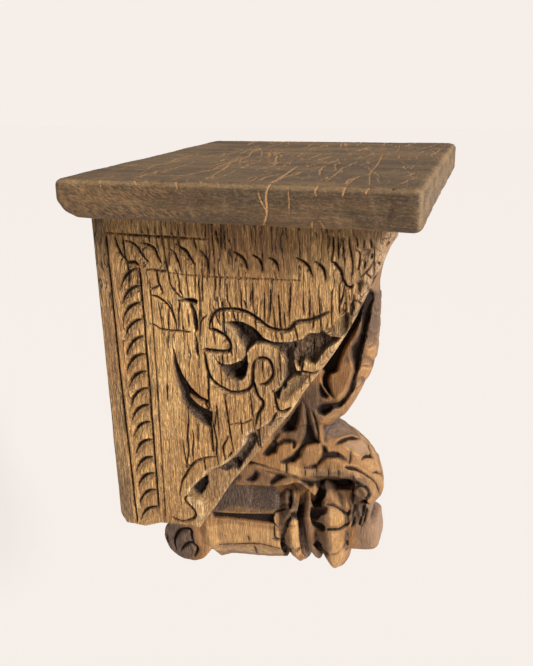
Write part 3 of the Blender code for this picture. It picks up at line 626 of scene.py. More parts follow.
def at_least(share, least):
    """Raises a share from 0 to 1 so that it runs from least to 1."""
    return least + (1 - least) * share


def lift(field, chosen, values):
    """Raises the chosen places of a field to at least the values given."""
    field[chosen] = np.maximum(field[chosen], values)


class Relief:
    """How deep the carving cuts at each point of a surface, and what it leaves there.

    floor and cut are depths. ink and sunk are how far inside a stained or a sunken shape a point
    lies. worn, tone and grey are shares from 0 to 1. ink and tone hold painted shade besides stain
    and dark tone, and worn holds painted highlights besides wear.
    """

    RUN_OUT = 0.6
    END_WIDTH = 0.35
    END_DEPTH = 0.25
    END_INK = 0.30
    RIM_WIDTH = 0.0009
    POCKET_RIM = 0.0010
    BORDER = 0.0012

    def __init__(self, points, drawing=None, where=None, reach=FAR_AWAY):
        self.points = np.array(points, float)
        if where is not None:
            self.points[~where] = OUT_OF_SIGHT
        self.drawing = drawing
        self.reach = reach
        count = len(points)
        self.floor, self.cut, self.worn, self.tone, self.grey = np.zeros((5, count))
        self.ink, self.sunk = np.full((2, count), -reach)

    def path(self, shape):
        """A named shape of the drawing as a smooth path, or a path as given."""
        return spline(self.outline(shape), 4) if isinstance(shape, str) else self.outline(shape)

    def outline(self, shape):
        """A named shape of the drawing corner by corner, or an outline as given."""
        return drawn(self.drawing[shape]) if isinstance(shape, str) else as_path(shape)

    def near(self, path, reach):
        low, high = path.min(0) - reach, path.max(0) + reach
        return np.nonzero(((self.points >= low) & (self.points <= high)).all(1))[0]

    def groove(self, shape, width, depth, taper=0.25, ink=1.0, lean=1.0, rim=0.0, tone=0.0):
        """A cut along a path. Its ends run out over taper, and lean widens its left side.

        ink is the stained share of its half width.
        """
        path = self.path(shape)
        chosen = self.near(path, width * max(lean, 1.0) + self.reach)
        distance, share, side, _ = closest_on_path(self.points[chosen], path)
        ends = np.clip(np.minimum(share, 1 - share) / max(taper, TINY), 0.0, 1.0) ** self.RUN_OUT
        half = 0.5 * width * np.where(side > 0, lean, 1.0) * at_least(ends, self.END_WIDTH)
        profile = soft_step(1 - distance / half)
        lift(self.cut, chosen, depth * profile * at_least(ends, self.END_DEPTH))
        lift(self.worn, chosen, bell(distance - half * 1.1, self.RIM_WIDTH) * rim * ends)
        lift(self.tone, chosen, tone * profile)
        if ink:
            lift(self.ink, chosen, half * ink * at_least(ends, self.END_INK) - distance)

    def grooves(self, rows, **marks):
        """Several cuts, each given as shape, width, depth, taper, ink and rim."""
        for shape, width, depth, taper, ink, rim in rows:
            self.groove(shape, width, depth, taper=taper, ink=ink, rim=rim, **marks)

    def rub(self, shape, width, amount):
        """A rubbed, paler line along a path: wear on an edge, with a painted highlight along it."""
        path = self.path(shape)
        chosen = self.near(path, 3 * width)
        distance, _, _, _ = closest_on_path(self.points[chosen], path)
        lift(self.worn, chosen, amount * bell(distance, width))

    def pocket(self, shape, depth, wall=0.002, ease=0.0009, black=None, sunk=True, tone=0.0,
               rim=0.6, grey=0.0):
        """A sunken field inside an outline, with sloping walls and an eased edge.

        black is how far inside the outline the black starts, where there is any: stain in cuts, and
        painted shade in deep hollows.
        """
        outline = self.outline(shape)
        chosen = self.near(outline, wall + self.reach)
        distance, _ = inside_distance(self.points[chosen], outline)
        lift(self.floor, chosen, depth * ramp(distance, -ease, wall + ease))
        lift(self.worn, chosen, bell(distance + self.BORDER, self.POCKET_RIM) * rim)
        within = np.clip(distance / self.BORDER + 0.5, 0.0, 1.0)
        lift(self.tone, chosen, tone * within)
        lift(self.grey, chosen, grey * within)
        if sunk:
            lift(self.sunk, chosen, distance)
        if black is not None:
            lift(self.ink, chosen, distance - black)

    def shade(self, shape, tone=0.0, worn=0.0, soft=0.003):
        """Darker wood as painted shade, or paler wood as painted highlight and rubbed wear, inside an
        outline, with a soft border.
        """
        outline = self.outline(shape)
        chosen = self.near(outline, soft)
        distance, _ = inside_distance(self.points[chosen], outline)
        share = soft_step(0.5 + distance / soft)
        lift(self.tone, chosen, tone * share)
        lift(self.worn, chosen, worn * share)

    def depth(self):
        return self.floor + self.cut


def set_field(mesh, name, values):
    field = mesh.attributes.get(name) or mesh.attributes.new(name, "FLOAT", "POINT")
    field.data.foreach_set("value", np.asarray(values, np.float32))


def places_of(mesh):
    flat = np.zeros(len(mesh.vertices) * 3)
    mesh.vertices.foreach_get("co", flat)
    return flat.reshape(-1, 3)


def normals_of(mesh):
    flat = np.zeros(len(mesh.vertices) * 3)
    mesh.vertex_normals.foreach_get("vector", flat)
    return flat.reshape(-1, 3)


def move_to(mesh, places):
    mesh.vertices.foreach_set("co", places.astype(np.float32).ravel())
    mesh.update()


def neighbours_mean(mesh, values, rounds):
    """Values averaged with their neighbours along the mesh's edges, several times over."""
    ends = np.zeros(len(mesh.edges) * 2, np.int64)
    mesh.edges.foreach_get("vertices", ends)
    a, b = ends[0::2], ends[1::2]
    count = len(mesh.vertices)
    degree = np.bincount(a, minlength=count) + np.bincount(b, minlength=count)
    degree = np.maximum(degree, 1)
    columns = [column.copy() for column in np.atleast_2d(values.T)]
    for _ in range(rounds):
        for i, column in enumerate(columns):
            gathered = (np.bincount(a, weights=column[b], minlength=count)
                        + np.bincount(b, weights=column[a], minlength=count))
            columns[i] = 0.5 * column + 0.5 * gathered / degree
    return np.stack(columns, 1) if values.ndim > 1 else columns[0]


def hollowness(mesh, rounds):
    """How far each vertex lies below its smoothed surroundings, in metres."""
    places = places_of(mesh)
    smooth = neighbours_mean(mesh, places, rounds)
    return np.einsum("ij,ij->i", smooth - places, normals_of(mesh))


def object_from(name, bm):
    mesh = bpy.data.meshes.new(name)
    bm.to_mesh(mesh)
    bm.free()
    item = bpy.data.objects.new(name, mesh)
    bpy.context.scene.collection.objects.link(item)
    return item


def finish_piece(item, material, node):
    """Shading and material for one finished piece, which is hung under the root body and takes the
    place of its part, now hidden.
    """
    item.data.materials.clear()
    item.data.materials.append(material)
    item.data.shade_smooth()
    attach(item, "root")
    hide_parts(node)


def wrapped_grid(name, around, along, place):
    """A closed skin: a grid whose columns go round a body and whose rows go along it."""
    bm = bmesh.new()
    bmesh.ops.create_grid(bm, x_segments=around, y_segments=along, size=0.5)
    shares = flat_points(bm) + 0.5
    for vertex, point in zip(bm.verts, place(shares[:, 0], shares[:, 1])):
        vertex.co = point
    bmesh.ops.remove_doubles(bm, verts=bm.verts, dist=1e-6)
    bmesh.ops.holes_fill(bm, edges=[edge for edge in bm.edges if edge.is_boundary], sides=0)
    bmesh.ops.recalc_face_normals(bm, faces=bm.faces)
    return object_from(name, bm)


def flat_points(bm):
    return np.array([vertex.co[:2] for vertex in bm.verts])


def flank_outline(slope):
    top = ((-0.0004, BLOCK_HIGH.z), (slope[0][0], BLOCK_HIGH.z))
    return np.vstack([as_path(top), spline(slope, 3), as_path(FLANK_UNDER)])


def rope_gouges():
    """The slanting gouges that turn the border into a rope, from the top down."""
    for i in range(ROPE_COUNT):
        z = ROPE_TOP - ROPE_PITCH * i - ROPE_GROWTH * i * i
        start = (-0.0176 - 0.0005 * math.sin(2.1 * i), z - 0.0142 - 0.0006 * math.cos(1.7 * i))
        end = (-0.0322, z - 0.0004 * math.sin(1.3 * i))
        yield arc_bow(start, end, -0.0030)


def carve_border(relief):
    """The lines beside the wall and over the frieze, the rope and the frieze's cut leaves."""
    relief.grooves((
        ("wall_line", 0.0030, 0.0020, 0.02, 0.34, 0.30),
        ("rope_line", 0.0030, 0.0022, 0.02, 0.38, 0.40),
        ("fillet_line", 0.0022, 0.0010, 0.04, 0.10, 0.30),
        ("frieze_top", 0.0028, 0.0012, 0.30, 0.22, 0.0),
        ("frieze_low", 0.0022, 0.0006, 0.20, 0.04, 0.0),
        (ROPE_START, 0.0050, 0.0028, 0.30, 0.40, 0.0)))
    for path in rope_gouges():
        relief.groove(path + GOUGE_SHADOW, 0.0090, 0.0014, taper=0.45, ink=0.0, tone=0.34)
        relief.groove(path, 0.0060, 0.0036, taper=0.50, ink=0.40, lean=0.55, rim=0.45)
    for numbers in FRIEZE:
        path = spline(drawn(numbers), 4)
        relief.groove(path + GOUGE_SHADOW * 0.7, 0.0076, 0.0012, taper=0.40, ink=0.0, tone=0.26)
        relief.groove(path, 0.0044, 0.0028, taper=0.40, ink=0.36, lean=0.8, rim=0.35)


def carve_motif(relief):
    """The angular leaf between the rope and the cloud."""
    relief.grooves((
        ("motif_top", 0.0022, 0.0012, 0.15, 0.22, 0.2),
        ("motif_post", 0.0036, 0.0024, 0.15, 0.22, 0.2),
        ("motif_bar", 0.0028, 0.0018, 0.15, 0.22, 0.2),
        ("motif_arc", 0.0030, 0.0022, 0.15, 0.22, 0.2),
        ("motif_base", 0.0024, 0.0016, 0.15, 0.22, 0.2),
        ("motif_side", 0.0020, 0.0012, 0.15, 0.22, 0.2),
        ("motif_stem", 0.0020, 0.0014, 0.15, 0.22, 0.2)))
    relief.pocket("motif_hollow", 0.0042, 0.0014, black=0.0012, tone=0.6)
    relief.pocket("motif_t", 0.0036, 0.0012, black=0.0003)


def carve_cloud(relief):
    """The cloud scroll with its deep hollows, and the blade-shaped cut beside it."""
    relief.pocket("cloud_wedge", 0.0078, 0.0020, ease=0.0003, tone=0.86, rim=0.9)
    # The *_dark pockets are painted black shadow on the deepest, shaded side of each hollow
    relief.pocket("wedge_dark", 0.0084, 0.0014, black=0.0004, rim=0.0)
    relief.pocket("cloud_hollow", 0.0092, 0.0020, ease=0.0003, tone=0.86, rim=0.9)
    relief.pocket("hollow_dark", 0.0098, 0.0014, black=0.0002, rim=0.0)
    relief.pocket("blade_cut", 0.0080, 0.0030, ease=0.0004, tone=0.90, rim=0.5)
    relief.pocket("blade_dark", 0.0084, 0.0014, black=0.0004, rim=0.0)
    relief.grooves((
        ("cloud_line", 0.0044, 0.0030, 0.10, 0.30, 0.6),
        ("cloud_lobe", 0.0044, 0.0029, 0.06, 0.32, 0.6),
        ("cloud_belly", 0.0042, 0.0028, 0.08, 0.30, 0.6),
        ("cloud_ring", 0.0042, 0.0027, 0.08, 0.30, 0.6),
        ("cloud_tail", 0.0042, 0.0028, 0.15, 0.32, 0.6)), tone=0.5)
    relief.groove("tail_mark", 0.0028, 0.0012, taper=0.25, ink=0.12)
    # Rubbed rims, with painted highlights along them
    relief.rub("ring_rim", 0.0016, 0.95)
    relief.rub("band_rim", 0.0012, 0.60)
    relief.rub("cap_rim", 0.0012, 0.80)


def carve_ground(relief):
    """The sunken ground along the slope, its lobes, and the scalloped foot."""
    relief.pocket("ground_main", 0.0070, 0.0018, ease=0.0004, tone=0.58, rim=0.8)
    relief.pocket("ground_facet", 0.0036, 0.0016, tone=0.60, sunk=False, rim=0.7)
    relief.pocket("lobe_b_dip", 0.0022, 0.0026, tone=0.55, sunk=False, rim=0.0)
    # ground_side is painted shade on the ground beside the slope's edge, and lobe_shade painted shade
    # under the lobes
    relief.pocket("ground_side", 0.0056, 0.0020, ease=0.0004, tone=0.86, rim=0.3)
    relief.pocket("lobe_shade", 0.0026, 0.0040, sunk=False, tone=0.60, rim=0.0)
    relief.pocket("ground_step", 0.0042, 0.0018, tone=0.9, rim=0.4)
    relief.pocket("ground_lower", 0.0062, 0.0012, ease=0.0003, tone=0.36, sunk=False, rim=1.0,
                  grey=0.18)
    relief.pocket("dark_notch", 0.0085, 0.0026, tone=0.84, rim=0.0)
    relief.pocket("dark_hole", 0.0104, 0.0012, black=-0.0006, tone=1.0, rim=0.0)
    relief.pocket("dark_stain", 0.0074, 0.0016, tone=1.0, black=0.0012, rim=0.0)
    relief.grooves((
        ("lobe_c_line", 0.0034, 0.0026, 0.15, 0.30, 0.6),
        ("lobe_a_line", 0.0030, 0.0024, 0.15, 0.28, 0.6),
        ("crack_g", 0.0024, 0.0016, 0.20, 0.40, 0.0),
        ("scallop_inner", 0.0034, 0.0024, 0.30, 0.24, 0.3),
        ("foot_line", 0.0032, 0.0024, 0.12, 0.30, 0.3)))
    relief.rub("scallop_rim", 0.0016, 0.90)
    relief.rub("lobe_rim", 0.0018, 0.80)
    # A painted highlight on the raised foot
    relief.shade("foot_lit", worn=1.0, soft=0.0014)


def carve_cracks(relief):
    """Splits and open grain of the near flank, and the ragged cuts of its nose."""
    for width, *numbers in SPLITS:
        relief.groove(spline(drawn(numbers), 3), width * TENTH * 0.8 + 0.0006, 0.0018, ink=0.40)
    for width, *numbers in NOSE_CUTS:
        relief.groove(spline(drawn(numbers), 3), width * TENTH * 0.7 + 0.0010, 0.0018, ink=0.16)
    relief.groove("nose_line", 0.0032, 0.0026, taper=0.12, ink=0.26, rim=0.5)
    relief.pocket("nose_triangle", 0.0040, 0.0020, tone=0.62, sunk=False, rim=0.5)
    relief.pocket("nose_patch", 0.0014, 0.0012, tone=0.5, sunk=False, rim=0.0)
    relief.groove("nose_ring", 0.0030, 0.0014, taper=0.0, ink=0.04, rim=0.3, tone=0.40)
    for path, ink in fine_splits():
        relief.groove(path, 0.0013, 0.0012, taper=0.35, ink=ink)


def fine_splits():
    """Short upright splits, fewer of them on the lower half."""
    rng = np.random.default_rng(11)
    for _ in range(FINE_SPLITS):
        y = -rng.uniform(0.044, 0.190)
        z = rng.uniform(-0.030, 0.121)
        if z < 0.055 and rng.uniform() < 0.60:
            continue
        long = rng.uniform(0.010, 0.030)
        lean = rng.uniform(-0.0020, 0.0030) * long / 0.03
        bend = rng.uniform(-0.0006, 0.0006)
        path = ((y, z), (y - lean / 2 + bend, z - long / 2), (y - lean, z - long))
        yield path, rng.uniform(0.20, 0.50)


def trimmed_grid(outline, spacing):
    """A flat grid over an outline, without the faces that lie wholly outside it."""
    low, high = outline.min(0), outline.max(0)
    size = high - low
    middle = (low + high) / 2
    bm = bmesh.new()
    columns, rows = (int(math.ceil(extent / spacing)) for extent in size)
    bmesh.ops.create_grid(bm, x_segments=columns, y_segments=rows, size=0.5)
    bmesh.ops.scale(bm, vec=(size[0], size[1], 1.0), verts=bm.verts)
    bmesh.ops.translate(bm, vec=(middle[0], middle[1], 0.0), verts=bm.verts)
    inside, _ = inside_distance(flat_points(bm), outline)
    for vertex, kept in zip(bm.verts, inside > 0):
        vertex.tag = not kept
    outer = [face for face in bm.faces if all(vertex.tag for vertex in face.verts)]
    bmesh.ops.delete(bm, geom=outer, context="FACES")
    bm.verts.index_update()
    return bm


def refine_at_cuts(bm, relief):
    """Halves the grid where a cut or the wall of a sunken field runs."""
    wall = -np.abs(relief.sunk - POCKET_WALL)
    busy = np.maximum(relief.ink, wall) > -REFINE_REACH
    chosen = [face for face in bm.faces if any(busy[vertex.index] for vertex in face.verts)]
    edges = list({edge for face in chosen for edge in face.edges})
    bmesh.ops.subdivide_edges(bm, edges=edges, cuts=1, use_grid_fill=True)


def fit_to_outline(bm, outline, spacing):
    """Draws the outer points in to the outline and drops the faces that this flattens."""
    inside, place = inside_distance(flat_points(bm), outline)
    for vertex, outside, foot in zip(bm.verts, inside < 0, place):
        if outside:
            vertex.co.xy = foot
    bmesh.ops.remove_doubles(bm, verts=bm.verts, dist=spacing * 0.05)
    flattened = [face for face in bm.faces if face.calc_area() < FLAT_AREA]
    bmesh.ops.delete(bm, geom=flattened, context="FACES")


def close_back(bm, thickness):
    """Gives a sheet its edges and its back, thickness away along x."""
    border = [edge for edge in bm.edges if edge.is_boundary]
    skirt = bmesh.ops.extrude_edge_only(bm, edges=border)["geom"]
    back = [item for item in skirt if isinstance(item, bmesh.types.BMVert)]
    bmesh.ops.translate(bm, vec=(thickness, 0.0, 0.0), verts=back)
    bmesh.ops.holes_fill(bm, edges=[edge for edge in bm.edges if edge.is_boundary], sides=0)
    bmesh.ops.recalc_face_normals(bm, faces=bm.faces)


def carve_flank(points, fine):
    """The whole drawing of a flank on (y, z) points."""
    relief = Relief(points, FLANK_DRAWING)
    carve_border(relief)
    carve_motif(relief)
    carve_cloud(relief)
    carve_ground(relief)
    if fine:
        carve_cracks(relief)
    return relief


def worn_edge(distance, radius):
    """How much a rounded edge falls away at a distance from the outline."""
    inner = np.clip(radius - distance, 0.0, None)
    return radius - np.sqrt(np.maximum(radius * radius - inner * inner, 0.0))


def make_flank(name, side, spacing, fine):
    """One flank of the block, from a grid trimmed to the outline and refined at the carving."""
    outline = flank_outline(SLOPE_EDGE if side < 0 else FAR_SLOPE)
    bm = trimmed_grid(outline, spacing)
    refine_at_cuts(bm, carve_flank(flat_points(bm), fine))
    fit_to_outline(bm, outline, spacing)
    for vertex in bm.verts:
        vertex.co = (side * BLOCK_HIGH.x, vertex.co.x, vertex.co.y)
    close_back(bm, -side * FLANK_THICK)
    item = object_from(name, bm)
    shape_flank(item.data, side, outline, fine)
    return item


def shape_flank(mesh, side, outline, fine):
    """Cuts the relief into a flank's outer face and writes what its wood reads."""
    places = places_of(mesh)
    flat = places[:, 1:]
    face = places[:, 0] * side > BLOCK_HIGH.x - FACE_SKIN
    relief = carve_flank(flat, fine)
    edge, _ = inside_distance(flat, outline)
    edge = np.maximum(edge, 0.0)
    y, z = flat[:, 0], flat[:, 1]
    below_top = z < BLOCK_HIGH.z - UNDER_BOARD
    nose = ramp(-y, 0.165, 0.024) * ramp(z, 0.062, 0.024)
    depth = relief.depth() + worn_edge(edge, flank_rounding(flat, nose, below_top))
    depth += dents(flat, 0.00022, 0.035, seed=5) + dents(flat, 0.00013, 0.0030, seed=7, stretch=9.0)
    depth += dents(flat, 0.0008, 0.010, seed=9, stretch=1.6) * nose
    depth += dents(flat, 0.0004, 0.0055, seed=15) * (relief.sunk > 0.001)
    places[:, 0] -= side * np.where(face, np.maximum(depth, 0.0), 0.0)
    move_to(mesh, places)
    patchy = 0.5 + 0.5 * ripple(flat, 0.012, seed=17)
    rubbed = bell(edge, EDGE_RUB) * below_top * at_least(np.clip(patchy, 0, 1), 0.20)
    band = bell(edge, EDGE_BAND) * (z > -0.030) * below_top * (y < -0.080)
    worn = np.maximum.reduce([relief.worn * (0.5 + 0.5 * patchy), rubbed * 0.8,
                              0.50 * band * at_least(patchy, 0.6), 0.45 * nose])
    by_wall = 0.12 * ramp(y, WALL_BAND, 0.0020)
    grey = np.clip(relief.grey + 0.75 * nose + 0.40 * band + by_wall, 0.0, 1.0)
    write_fields(mesh, relief, worn, np.maximum(relief.tone, flank_shadow_and_darkening(y, z)), grey)


def flank_rounding(flat, nose, below_top):
    """Radius of a flank's worn edge: least at the top, most along the slope and at the nose."""
    sloping = ramp(-flat[:, 0], 0.075, 0.012) * ramp(flat[:, 1], -0.045, 0.010)
    slope = SLOPE_ROUNDING + SLOPE_UNEVEN * ripple(flat, 0.014, seed=3)
    radius = FLANK_ROUNDING + slope * sloping + NOSE_ROUNDING * nose
    return np.where(below_top, np.maximum(radius, LEAST_ROUNDING), LEAST_ROUNDING)


def write_fields(mesh, relief, worn, tone, grey):
    """What the wood reads: distances in millimetres, and shares from 0 to 1."""
    set_field(mesh, "ink", relief.ink * PER_METRE)
    set_field(mesh, "sunk", relief.sunk * PER_METRE)
    set_field(mesh, "worn", worn)
    set_field(mesh, "tone", tone)
    set_field(mesh, "grey", grey)


def flank_shadow_and_darkening(y, z):
    """Broad darkening of a flank: a painted shadow under the board, and darker by the wall, towards the
    frieze and the nose, and towards the foot.
    """
    by_wall = 0.36 * ramp(y, WALL_BAND, 0.0020)
    by_wall += 0.26 * ramp(np.abs(z - 0.012), 0.055, 0.045) * (y > -0.0115)
    # Painted shadow of the board over the top of the flank
    painted_board_shadow = 0.36 * ramp(z, 0.1040, 0.0060)
    frieze = 0.12 * ramp(z, 0.078, 0.012)
    by_nose = 0.17 * ramp(z, 0.050, 0.030) * ramp(-y, 0.085, 0.030)
    low = 0.12 * ramp(-z, 0.085, 0.030)
    return np.maximum.reduce([by_wall, painted_board_shadow, frieze + by_nose, low])


def make_core(name):
    """The block between the flanks, its sloping front a plain sunken field with a border."""
    half = BLOCK_HIGH.x - FLANK_THICK + CORE_OVERLAP
    front = spline(drawn((1915, 1110, 1835, 950, 1720, 640, 1545, 260, 1355, -60, 1150, -370,
            985, -590, 880, -730, 790, -880, 700, -1020)), 16)
    under = drawn((640, -1100, 560, -1105, 300, -1135, 150, -1170, 40, -1170, 0, -1140))
    wall = np.stack([np.zeros(8), np.linspace(-0.1050, 0.1150, 8)], 1)
    top = as_path([(y, BLOCK_HIGH.z) for y in (0.0, -0.0500, -0.1000, -0.1500, -0.1985)])
    outline = np.vstack([front, under, wall, top])
    closed = np.vstack([outline, outline[:1]])
    count = len(outline)

    def place(around, along):
        spot = np.round(around * count).astype(int)
        x = (along * 2 - 1) * half
        y, z = closed[spot].T
        sloping = (spot > 1) & (spot < len(front) - 1)
        field = sloping * ramp(-np.abs(x), 0.006 - half, 0.004)
        cut = field * (0.0030 + 0.0006 * ripple(np.stack([x, z], 1), 0.012, 21, 1.6))
        cut += 0.0012 * sloping
        return np.stack([x, y + cut * 0.85, z + cut * 0.5 * sloping], 1)

    return wrapped_grid(name, count, 110, place)


def crowned(name, middle, side, half, power=1.0, rows=4):
    """A body whose outline changes from the one in its middle plane to the one at its sides."""
    rings = [np.vstack([outline, outline[:1]]) for outline in (middle, side)]
    last = len(middle)

    def place(around, along):
        x = (along * 2 - 1) * half
        share = np.abs(along * 2 - 1)[:, None] ** power
        a, b = (np.stack([np.interp(around * last, np.arange(last + 1), ring[:, k])
                          for k in (0, 1)], 1) for ring in rings)
        point = a * (1 - share) + b * share
        return np.stack([x, point[:, 0], point[:, 1]], 1)

    return wrapped_grid(name, last * 2, rows, place)


def plain_body(name, outline, half, rows=4):
    """A body of one outline from side to side."""
    return crowned(name, outline, outline, half, rows=rows)


def make_leaf_form():
    middle = spline(drawn((1850, 900, 1818, 789, 1799, 700, 1780, 600, 1774, 531, 1790, 440,
            1796, 310, 1790, 60, 1745, -130, 1665, -310, 1585, -465, 1480, -600)))
    side = spline(drawn((1740, 960, 1730, 900, 1730, 830, 1735, 740, 1735, 640, 1730, 520,
            1700, 370, 1678, 100, 1646, -67, 1596, -199, 1529, -300, 1430, -480)))
    back = drawn((1180, -550, 1100, -300, 1320, 50, 1480, 300, 1620, 600))
    return crowned("leaf", np.vstack([middle, back]), np.vstack([side, back]), SPINE_SIDE, 2.0, 24)


def make_stem_form():
    outline = drawn((1430, -200, 1410, -450, 1430, -720, 1000, -760, 1000, -150))
    return plain_body("stem", outline, 0.0265)


def make_scroll_form():
    ridge = spline(drawn((850, -420, 1100, -480, 1320, -520, 1485, -580, 1648, -700, 1764, -858,
            1858, -1015, 1874, -1180, 1800, -1290)))
    edge = spline(drawn((800, -660, 1000, -720, 1140, -740, 1300, -720, 1460, -745, 1630, -838,
            1735, -950, 1800, -1050, 1800, -1120)))
    ridge_under = drawn((1710, -1180, 1600, -1040, 1400, -1010, 1200, -1030, 780, -1020))
    edge_under = drawn((1755, -1010, 1660, -925, 1495, -928, 1267, -977, 800, -880))
    return crowned("scroll", np.vstack([ridge, ridge_under]), np.vstack([edge, edge_under]),
                   0.0305, 1.6, 24)


def make_fold_form():
    upper = spline(drawn((700, -960, 980, -940, 1200, -940, 1330, -990, 1395, -1090)))
    lower = spline(drawn((1372, -1150, 1310, -1090, 1225, -1050, 1090, -1100, 900, -1130,
            700, -1160)))
    return plain_body("fold", np.vstack([upper, lower]), 0.0285, 6)


def make_neck_form():
    outline = drawn((720, -1000, 720, -1600, 1500, -1400, 1660, -1150, 1500, -900, 900, -800))
    return plain_body("neck", outline, 0.0130)


def make_boss_form(name, centre, radius, half):
    return plain_body(name, circle(centre, radius, 40), half)


def on_near_side(places):
    near = places.copy()
    near[:, 0] = -np.abs(near[:, 0])
    return near


def weld_forms(name, forms, voxel):
    """Overlapping closed forms made one even skin."""
    bm = bmesh.new()
    for form in forms:
        bm.from_mesh(form.data)
        bpy.data.objects.remove(form, do_unlink=True)
    item = object_from(name, bm)
    return remesh(item, voxel)


def remesh(item, voxel):
    skin = item.modifiers.new("even_skin", "REMESH")
    skin.mode = "VOXEL"
    skin.voxel_size = voxel
    graph = bpy.context.evaluated_depsgraph_get()
    mesh = bpy.data.meshes.new_from_object(item.evaluated_get(graph))
    item.modifiers.clear()
    old = item.data
    item.data = mesh
    bpy.data.meshes.remove(old)
    drop_crumbs(mesh)
    return item


def drop_crumbs(mesh):
    """Takes away the loose specks that an even skin can leave beside the piece itself."""
    bm = bmesh.new()
    bm.from_mesh(mesh)
    met, crumbs = set(), []
    for first in bm.verts:
        if first in met:
            continue
        island, waiting = {first}, [first]
        while waiting:
            vertex = waiting.pop()
            for edge in vertex.link_edges:
                other = edge.other_vert(vertex)
                if other not in island:
                    island.add(other)
                    waiting.append(other)
        met |= island
        if len(island) < CRUMB_POINTS:
            crumbs += island
    bmesh.ops.delete(bm, geom=crumbs, context="VERTS")
    bm.to_mesh(mesh)
    bm.free()


def sight_points(places):
    """Where the line of sight through each point meets the plane of the middle body's side."""
    near = on_near_side(places)
    eye = np.array(EYE)
    share = (-SPINE_SIDE - eye[0]) / (near[:, 0] - eye[0])
    return (eye + share[:, None] * (near - eye))[:, 1:]


def sight_lines(places):
    """Unit lines of sight at each point, mirrored on the far side."""
    lines = on_near_side(places) - np.array(EYE)
    lines /= np.linalg.norm(lines, axis=1)[:, None]
    lines[:, 0] *= np.where(places[:, 0] > 0, -1.0, 1.0)
    return lines


def faces_eye(mesh, places, limit):
    """Which vertices are turned to the eye, up to a limit: -1 is face on, 0 edge on."""
    return np.einsum("ij,ij->i", normals_of(mesh), sight_lines(places)) < limit


def carve_spine_deep(relief):
    """The deep hollows of the leaf's side, the stem and the lobes above the scroll's band."""
    for name, depth, wall in (
            ("leaf_outer", 0.0110, 0.0024), ("leaf_inner", 0.0120, 0.0024),
            ("leaf_pocket", 0.0060, 0.0024), ("stem_recess", 0.0090, 0.0026),
            ("lobe_shadow", 0.0060, 0.0020), ("stem_groove", 0.0065, 0.0022),
            ("lobe_right", 0.0055, 0.0020), ("band_under", 0.0060, 0.0022),
            ("fold_gouge_a", 0.0060, 0.0024), ("fold_gouge_b", 0.0060, 0.0024),
            ("fold_left", 0.0045, 0.0024)):
        # The floor of each hollow is painted black, as stain and as painted shade
        relief.pocket(name, depth, wall, ease=0.0012, black=0.0010, rim=0.15)
    relief.pocket("crescent_a", 0.0036, 0.0016, black=0.0004, rim=0.5)


def carve_spine_fine(relief):
    """Cuts, patches and tones on the leaf, the stem and the scroll; most tones are painted shade and
    painted highlights.
    """
    for name in ("crescent_b", "crescent_c", "curl_line"):
        relief.pocket(name, 0.0024, 0.0012, black=0.0003, rim=0.5)
    relief.pocket("panel_field", 0.0008, 0.0024, sunk=False, grey=1.0, tone=0.74, rim=0.0)
    relief.pocket("panel_two", 0.0006, 0.0020, sunk=False, grey=1.0, tone=0.42, rim=0.0)
    for name in ("leaf_patch_a", "leaf_patch_b", "leaf_patch_c"):
        relief.pocket(name, 0.0012, 0.0020, tone=0.7, sunk=False, rim=0.0)
    for name in ("leaf_scale_a", "leaf_scale_b", "leaf_scale_c", "leaf_scale_d", "leaf_scale_e"):
        relief.groove(name, 0.0026, 0.0012, taper=0.3, ink=0.0, lean=1.6, rim=0.5)
    relief.grooves((
        ("rib_line", 0.0034, 0.0022, 0.20, 0.30, 0.5),
        ("tick_down", 0.0024, 0.0016, 0.30, 0.40, 0.0),
        (circle(CURL_EYE, 0.0062, 33, closed=True), 0.0032, 0.0016, 0.0, 0.34, 0.5),
        ("crack_band", 0.0022, 0.0014, 0.20, 0.30, 0.0),
        ("lit_crease", 0.0020, 0.0, 0.30, 0.0, 0.9),
        ("band_line", 0.0024, 0.0018, 0.15, 0.45, 0.0)))
    relief.shade(circle(CURL_EYE, 0.0042, 16), worn=0.55, soft=0.002)
    # The dark shapes are painted shade on the leaf, stem and scroll: in the throat, along the scroll's
    # turned-away rim, and on faces turned from the light
    for name, share in (
            ("dark_stem", 0.66), ("dark_cap", 0.30), ("dark_front", 0.80),
            ("dark_tongue", 0.62), ("dark_leaf", 0.45), ("dark_throat", 0.65),
            ("dark_cheek", 0.80), ("dark_rim", 0.85), ("dark_fold", 0.50)):
        relief.shade(name, tone=share, soft=0.006)
    # The light shapes are painted highlights, with rubbed wear, where the scroll, band, leaf and fold
    # face the light
    for name, share in (
            ("light_scroll", 0.42), ("light_lobe", 0.30), ("light_band", 1.00),
            ("light_leaf", 0.28), ("light_fold", 0.20)):
        relief.shade(name, worn=share, soft=0.004)
    rng = np.random.default_rng(5)
    for y in BAND_NICKS:
        relief.groove(((y, -0.0870), (y - 0.0004, -0.0880 - rng.uniform(0.006, 0.010))),
                      0.0014, 0.0012, taper=0.4, ink=0.35)


def leaf_front_scales(places, relief):
    """Pairs of slanting cuts that meet on the middle of the leaf's front like scales."""
    x = np.abs(places[:, 0])
    z = places[:, 2] - 0.32 * x
    front = ramp(-places[:, 1], 0.1660, 0.0040) * (places[:, 2] > -0.045)
    front *= np.where(places[:, 2] < 0.060, 1.0, 0.0)
    for i in range(SCALE_COUNT):
        away = z - (SCALE_TOP - SCALE_PITCH * i) + 0.0020 * np.sin(x * 260)
        lean = soft_step(1 - np.where(away > 0, away / 0.0018, -away / 0.0085))
        relief.cut = np.maximum(relief.cut, 0.0009 * lean * front)
        relief.tone = np.maximum(relief.tone, 0.72 * lean * front)


